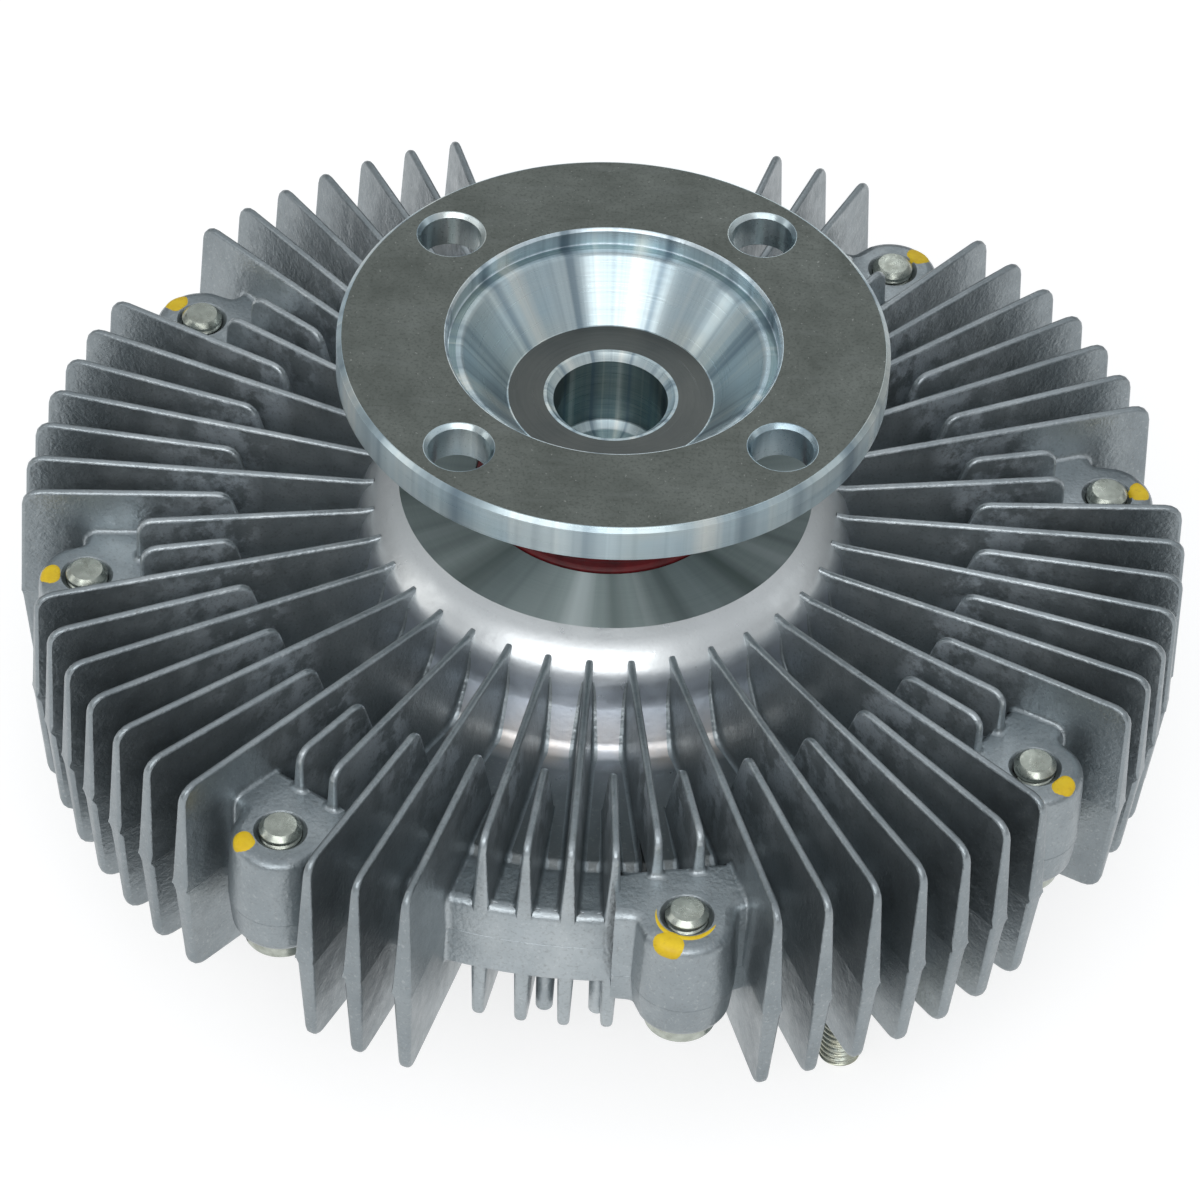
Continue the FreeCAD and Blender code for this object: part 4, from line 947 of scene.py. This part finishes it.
bolts = Shell()
for index in range(BOLT_COUNT):
    turn = FIRST_BOLT + BOSS_PITCH * index
    lathe(bolts, rounded([
        (0.0, BOLT_END, 0), (2.25, BOLT_END, 0.12), (BOLT_RADIUS, BOLT_END - 0.75, 0.15),
        (BOLT_RADIUS, BOLT_END - 1.0, 0),
    ], steps=3), BOLT_SIDES, BOLT_CIRCLE, turn, limit=40.0)
    thread(bolts, BOLT_CIRCLE, turn, THREAD_START, BOLT_END - 1.0)
    lathe(bolts, rounded([
        (HEAD_FACE, LUG, 0), (HEAD_RADIUS, LUG, 0.2), (HEAD_RADIUS, HEAD_END, 0.5), (HEAD_FACE, HEAD_END, 0),
    ], steps=4), HOLE_SIDES, BOLT_CIRCLE, turn)
    hexagon = []
    for corner in range(6):
        angle = math.radians(60.0 * corner + 11.0 * index)
        hexagon.append((SOCKET * math.cos(angle), SOCKET * math.sin(angle)))
    face = Shell()
    flat_with_holes(face, [circle(HEAD_FACE, HOLE_SIDES), hexagon], HEAD_END, False)
    bolts.add_turned([(x + BOLT_CIRCLE, y, z) for x, y, z in face.points], face.faces, turn)
    floor_height = HEAD_END + SOCKET_DEPTH
    rim = [(x + BOLT_CIRCLE, y, HEAD_END) for x, y in hexagon]
    floor_ring = [(x + BOLT_CIRCLE, y, floor_height) for x, y in hexagon]
    walls = [(corner, (corner + 1) % 6, 6 + (corner + 1) % 6, 6 + corner) for corner in range(6)]
    bolts.add_turned(rim + floor_ring, walls + [tuple(range(11, 5, -1))], turn)
bolts.make("clutch_bolts", "housing", [BOLT_METAL], ["housing_bolts"])

studs = Shell()
for index in range(4):
    turn = FIRST_BOLT + STUD_OFFSET + 90.0 * index
    neck = [(BOLT_RADIUS, STUD_SEAT - 1.3, 0), (2.4, STUD_SEAT - 1.1, 0.2), (2.4, STUD_SEAT + 1.0, 0)]
    lathe(studs, rounded(neck, steps=3)[::-1], BOLT_SIDES, STUD_CIRCLE, turn)
    thread(studs, STUD_CIRCLE, turn, STUD_END + 0.8, STUD_SEAT - 1.3)
    tip = [(BOLT_RADIUS, STUD_END + 0.8, 0), (2.15, STUD_END, 0.15), (0.0, STUD_END, 0)]
    lathe(studs, rounded(tip, steps=3), BOLT_SIDES, STUD_CIRCLE, turn, limit=40.0)
studs.make("fan_stud_set", "housing", [STUD_METAL], ["fan_studs"])


# Dabs of yellow paint by the bolt ends, laid over the boss's own shape
BOSS_EDGE = BOSS_RADIUS - BOSS_ROUND


def on_boss(distance):
    """Radius, height and outward slope at a distance from the bolt's axis, measured along the boss's skin."""
    if distance < MOUTH:
        fall = (MOUTH - distance) * 0.7
        return distance, PLATFORM - fall, (0.0, 1.0)
    if distance < BOSS_EDGE:
        return distance, PLATFORM, (0.0, 1.0)
    arc = (distance - BOSS_EDGE) / BOSS_ROUND
    if arc < math.pi / 2:
        lean = (math.sin(arc), math.cos(arc))
        return BOSS_EDGE + BOSS_ROUND * lean[0], PLATFORM - BOSS_ROUND * (1 - lean[1]), lean
    down = (arc - math.pi / 2) * BOSS_ROUND
    return BOSS_EDGE + BOSS_ROUND + down * 0.036, PLATFORM - BOSS_ROUND - down, (1.0, 0.0)


def on_skin(x, y, lift):
    distance, angle = math.hypot(x, y), math.atan2(y, x)
    radius, height, lean = on_boss(distance)
    radius += lean[0] * lift
    return BOLT_CIRCLE + radius * math.cos(angle), radius * math.sin(angle), height + lean[1] * lift


def dab(shell, centre, reach, seed, degrees):
    """A blot of paint with an uneven edge, thick in the middle and feathered at its rim."""
    around = 40
    rings = 7
    thickness = 0.16
    points = [on_skin(centre[0], centre[1], thickness)]
    for ring in range(1, rings + 1):
        share = ring / rings
        lift = thickness * (1.0 - share ** 5) - 0.03 * share ** 5
        for index in range(around):
            angle = 2 * math.pi * index / around
            uneven = 1.0 + 0.05 * math.sin(3 * angle + seed) + 0.025 * math.sin(5 * angle + 2.3 * seed)
            x = centre[0] + reach[0] * share * uneven * math.cos(angle)
            y = centre[1] + reach[1] * share * uneven * math.sin(angle)
            points.append(on_skin(x, y, lift))
    faces = [(0, 1 + index, 1 + (index + 1) % around) for index in range(around)]
    shell.add_turned(points, faces + tube(rings, around, start=1), degrees)


def smear(shell, start, finish, near, far, seed, degrees):
    """A thin arc of paint round a bolt's end."""
    steps = 60
    across = 6
    thickness = 0.12
    points = []
    for step in range(steps + 1):
        share = step / steps
        angle = math.radians(start + (finish - start) * share)
        taper = math.sin(math.pi * share ** 1.3) ** 0.7
        wobble = 0.03 * math.sin(5 * angle + seed)
        for lane in range(across + 1):
            part = lane / across
            distance = near + (far - near) * (0.5 + (part - 0.5) * taper) + wobble * taper
            lift = thickness * math.sin(math.pi * part) * taper - BURIED
            points.append(on_skin(distance * math.cos(angle), distance * math.sin(angle), lift))
    shell.add_turned(points, sheet(steps + 1, across + 1, crosswise=True), degrees)


# Each boss's dab: how far out and across from the bolt it sits, then its half length and half width
PAINT = [
    (4.8, -3.3, 2.3, 2.25), (5.1, -0.55, 1.7, 1.9), (4.8, 0.13, 1.6, 1.9), (4.9, -1.36, 1.7, 1.9),
    (4.8, 0.8, 1.6, 1.8), (5.2, -0.43, 1.7, 1.9), (5.1, -0.77, 1.7, 1.9), (4.7, -2.75, 1.8, 1.75),
]
marks = Shell()
for index, (x, y, wide, tall) in enumerate(PAINT):
    dab(marks, (x, y), (wide, tall), 1.3 * index + 0.4, FIRST_BOLT + BOSS_PITCH * index)
smear(marks, -122.0, 62.0, 3.72, 4.6, 0.7, FIRST_BOLT)
marks.make("paint_marks", "housing", [YELLOW])


# Pieces kept from the solids: new finishes
STEEL = polished_steel("bearing_steel_ground", (200, 202, 204), 0.2)
PLATE = polished_steel("zinc_sheet", (186, 188, 182), 0.34)
TURNED = polished_steel("turned_aluminium_rotor", (205, 207, 208), 0.3)
CAGE = polished_steel("pressed_cage", (170, 166, 150), 0.36)
COIL = bimetal("bimetal_strip_rolled")
FINISHES = {
    "bearing_inner_ring": STEEL, "bearing_outer_ring": STEEL, "bearing_balls": STEEL, "bearing_cage": CAGE,
    "bearing_rear_seal": BLACK, "housing_seal_ring": BLACK, "valve_shaft_seal": BLACK, "rotor": TURNED,
    "divider_plate": PLATE, "divider_plate_screws": BOLT_METAL, "valve_shaft": PLATE, "valve_arm": PLATE,
    "valve_shaft_clip": STEEL, "bimetal_coil": COIL, "coil_bracket": PLATE, "bracket_screws": BOLT_METAL,
}
for name, material in FINISHES.items():
    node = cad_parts[name]
    if not node.material_slots:
        node.data.materials.append(material)
    for entry in node.material_slots:
        entry.link = "OBJECT"
        entry.material = material


coil_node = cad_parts["bimetal_coil"]
coil = new_object("bimetal_coil_winding", coil_node.data.copy())
coil.matrix_world = coil_node.matrix_world.copy()
coil.data.materials.clear()
coil.data.materials.append(COIL)
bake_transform(coil)
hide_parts("bimetal_coil")


# Floor: plain and pale, it keeps the part's shadow
HALF_FLOOR = 3000.0
FLOOR_MATT = (0.4, 0.4, 0.4, 1.0)
FLOOR_GLOW = 0.73


def stage_material(name):
    """A matt floor whose glow only the camera and reflections see."""
    material = bpy.data.materials.new(name)
    material.use_nodes = True
    material.node_tree.nodes.clear()
    nodes = Nodes(material.node_tree)
    rays = nodes.add("LightPath", {}).outputs
    seen = nodes.maths("ADD", rays["Is Camera Ray"], rays["Is Glossy Ray"])
    seen = nodes.maths("ADD", seen, rays["Is Transmission Ray"])
    matt = nodes.add("BsdfDiffuse", {"Color": FLOOR_MATT})
    glow = nodes.add("Emission", {"Strength": nodes.times(seen, FLOOR_GLOW)})
    both = nodes.add("AddShader", {0: matt.outputs[0], 1: glow.outputs[0]})
    nodes.add("OutputMaterial", {"Surface": both.outputs[0]})
    return material


floor_mesh = bpy.data.meshes.new("floor")
half = HALF_FLOOR * MM
corners = [(-half, -half), (half, -half), (half, half), (-half, half)]
floor_mesh.from_pydata([(x, y, STUD_END * MM) for x, y in corners], [], [(0, 1, 2, 3)])
floor_mesh.materials.append(stage_material("pale_floor"))
floor = new_object("floor", floor_mesh)


# Light: a studio that is bright above and in front, dimmer behind and towards the horizon
BRIGHT_SIDE = (0.0, -0.5, 0.866)
SKY = [
    (0.0, (0.36, 0.37, 0.38, 1.0)), (0.5, (0.39, 0.41, 0.42, 1.0)), (0.64, (0.45, 0.47, 0.48, 1.0)),
    (0.78, (0.51, 0.53, 0.55, 1.0)), (0.90, (0.58, 0.60, 0.62, 1.0)), (1.0, (0.66, 0.68, 0.70, 1.0)),
]
SKY_STRENGTH = 1.25
HORIZON_STRENGTH = 0.55
DIM_BELOW = 0.08
BRIGHT_ABOVE = 0.45
WHITE = (1.0, 1.0, 1.0, 1.0)


def build_world():
    world = bpy.data.worlds.new("studio")
    bpy.context.scene.world = world
    world.use_nodes = True
    world.node_tree.nodes.clear()
    nodes = Nodes(world.node_tree)
    way = nodes.add("TexCoord", {}).outputs["Generated"]
    toward = nodes.add("VectorMath", {0: way, 1: BRIGHT_SIDE}, "DOT_PRODUCT")
    ramp = nodes.add("ValToRGB", {0: nodes.span(toward.outputs["Value"], -1.0, 1.0)})
    first, last = ramp.color_ramp.elements[0], ramp.color_ramp.elements[1]
    first.position, first.color = SKY[0]
    last.position, last.color = SKY[-1]
    for position, colour in SKY[1:-1]:
        ramp.color_ramp.elements.new(position).color = colour
    level = nodes.span(nodes.axes(way)[2], DIM_BELOW, BRIGHT_ABOVE, HORIZON_STRENGTH, SKY_STRENGTH)
    room = nodes.add("Background", {"Color": ramp.outputs[0], "Strength": level})
    white = nodes.add("Background", {"Color": WHITE})
    seen = nodes.add("LightPath", {}).outputs["Is Camera Ray"]
    choose = nodes.add("MixShader", {0: seen, 1: room.outputs[0], 2: white.outputs[0]})
    nodes.add("OutputWorld", {"Surface": choose.outputs[0]})


def softbox(name, place, aim, wide, tall, power, colour=(1.0, 1.0, 1.0)):
    light = bpy.data.lights.new(name, "AREA")
    light.shape = "RECTANGLE"
    light.size = wide * MM
    light.size_y = tall * MM
    light.energy = power
    light.color = colour
    lamp = new_object(name, light)
    start = Vector(place) * MM
    toward = Vector(aim) * MM - start
    lamp.location = start
    lamp.rotation_euler = toward.to_track_quat("-Z", "Y").to_euler()


build_world()
CENTRE = (0.0, 0.0, -40.0)
softbox("window_left", (-270.0, -686.0, 480.0), CENTRE, 560.0, 420.0, 1.75)
softbox("window_right", (160.0, -720.0, 480.0), CENTRE, 370.0, 420.0, 1.15)
softbox("left_side", (-760.0, -60.0, 260.0), CENTRE, 240.0, 420.0, 0.40, (1.0, 0.985, 0.96))
softbox("right_side", (720.0, 60.0, 300.0), CENTRE, 240.0, 420.0, 0.16, (0.97, 0.985, 1.0))
softbox("back_strip", (60.0, 700.0, 560.0), CENTRE, 60.0, 420.0, 0.22, (0.95, 0.98, 1.0))


# Camera at the photograph's own angle
LENS = 168.006
SENSOR = 36.0
NEAREST = 10.0
FARTHEST = 20000.0
VIEW_DISTANCE = 807.94
ELEVATION = math.radians(44.464)
ROLL = math.radians(-3.1725)
TARGET = Vector((0.0625, 0.0, -50.612))
camera_data = bpy.data.cameras.new("camera")
camera_data.lens = LENS
camera_data.sensor_width = SENSOR
camera_data.clip_start = NEAREST * MM
camera_data.clip_end = FARTHEST * MM
camera = new_object("camera", camera_data)
right = Vector((1.0, 0.0, 0.0))
up = Vector((0.0, math.sin(ELEVATION), math.cos(ELEVATION)))
back = Vector((0.0, -math.cos(ELEVATION), math.sin(ELEVATION)))
tilted_right = right * math.cos(ROLL) - up * math.sin(ROLL)
tilted_up = right * math.sin(ROLL) + up * math.cos(ROLL)
spot = (TARGET + back * VIEW_DISTANCE) * MM
axes = Matrix((tilted_right, tilted_up, back)).transposed().to_4x4()
camera.matrix_world = Matrix.Translation(spot) @ axes
bpy.context.scene.camera = camera
bpy.context.scene.view_settings.view_transform = "Standard"

bpy.context.view_layer.update()
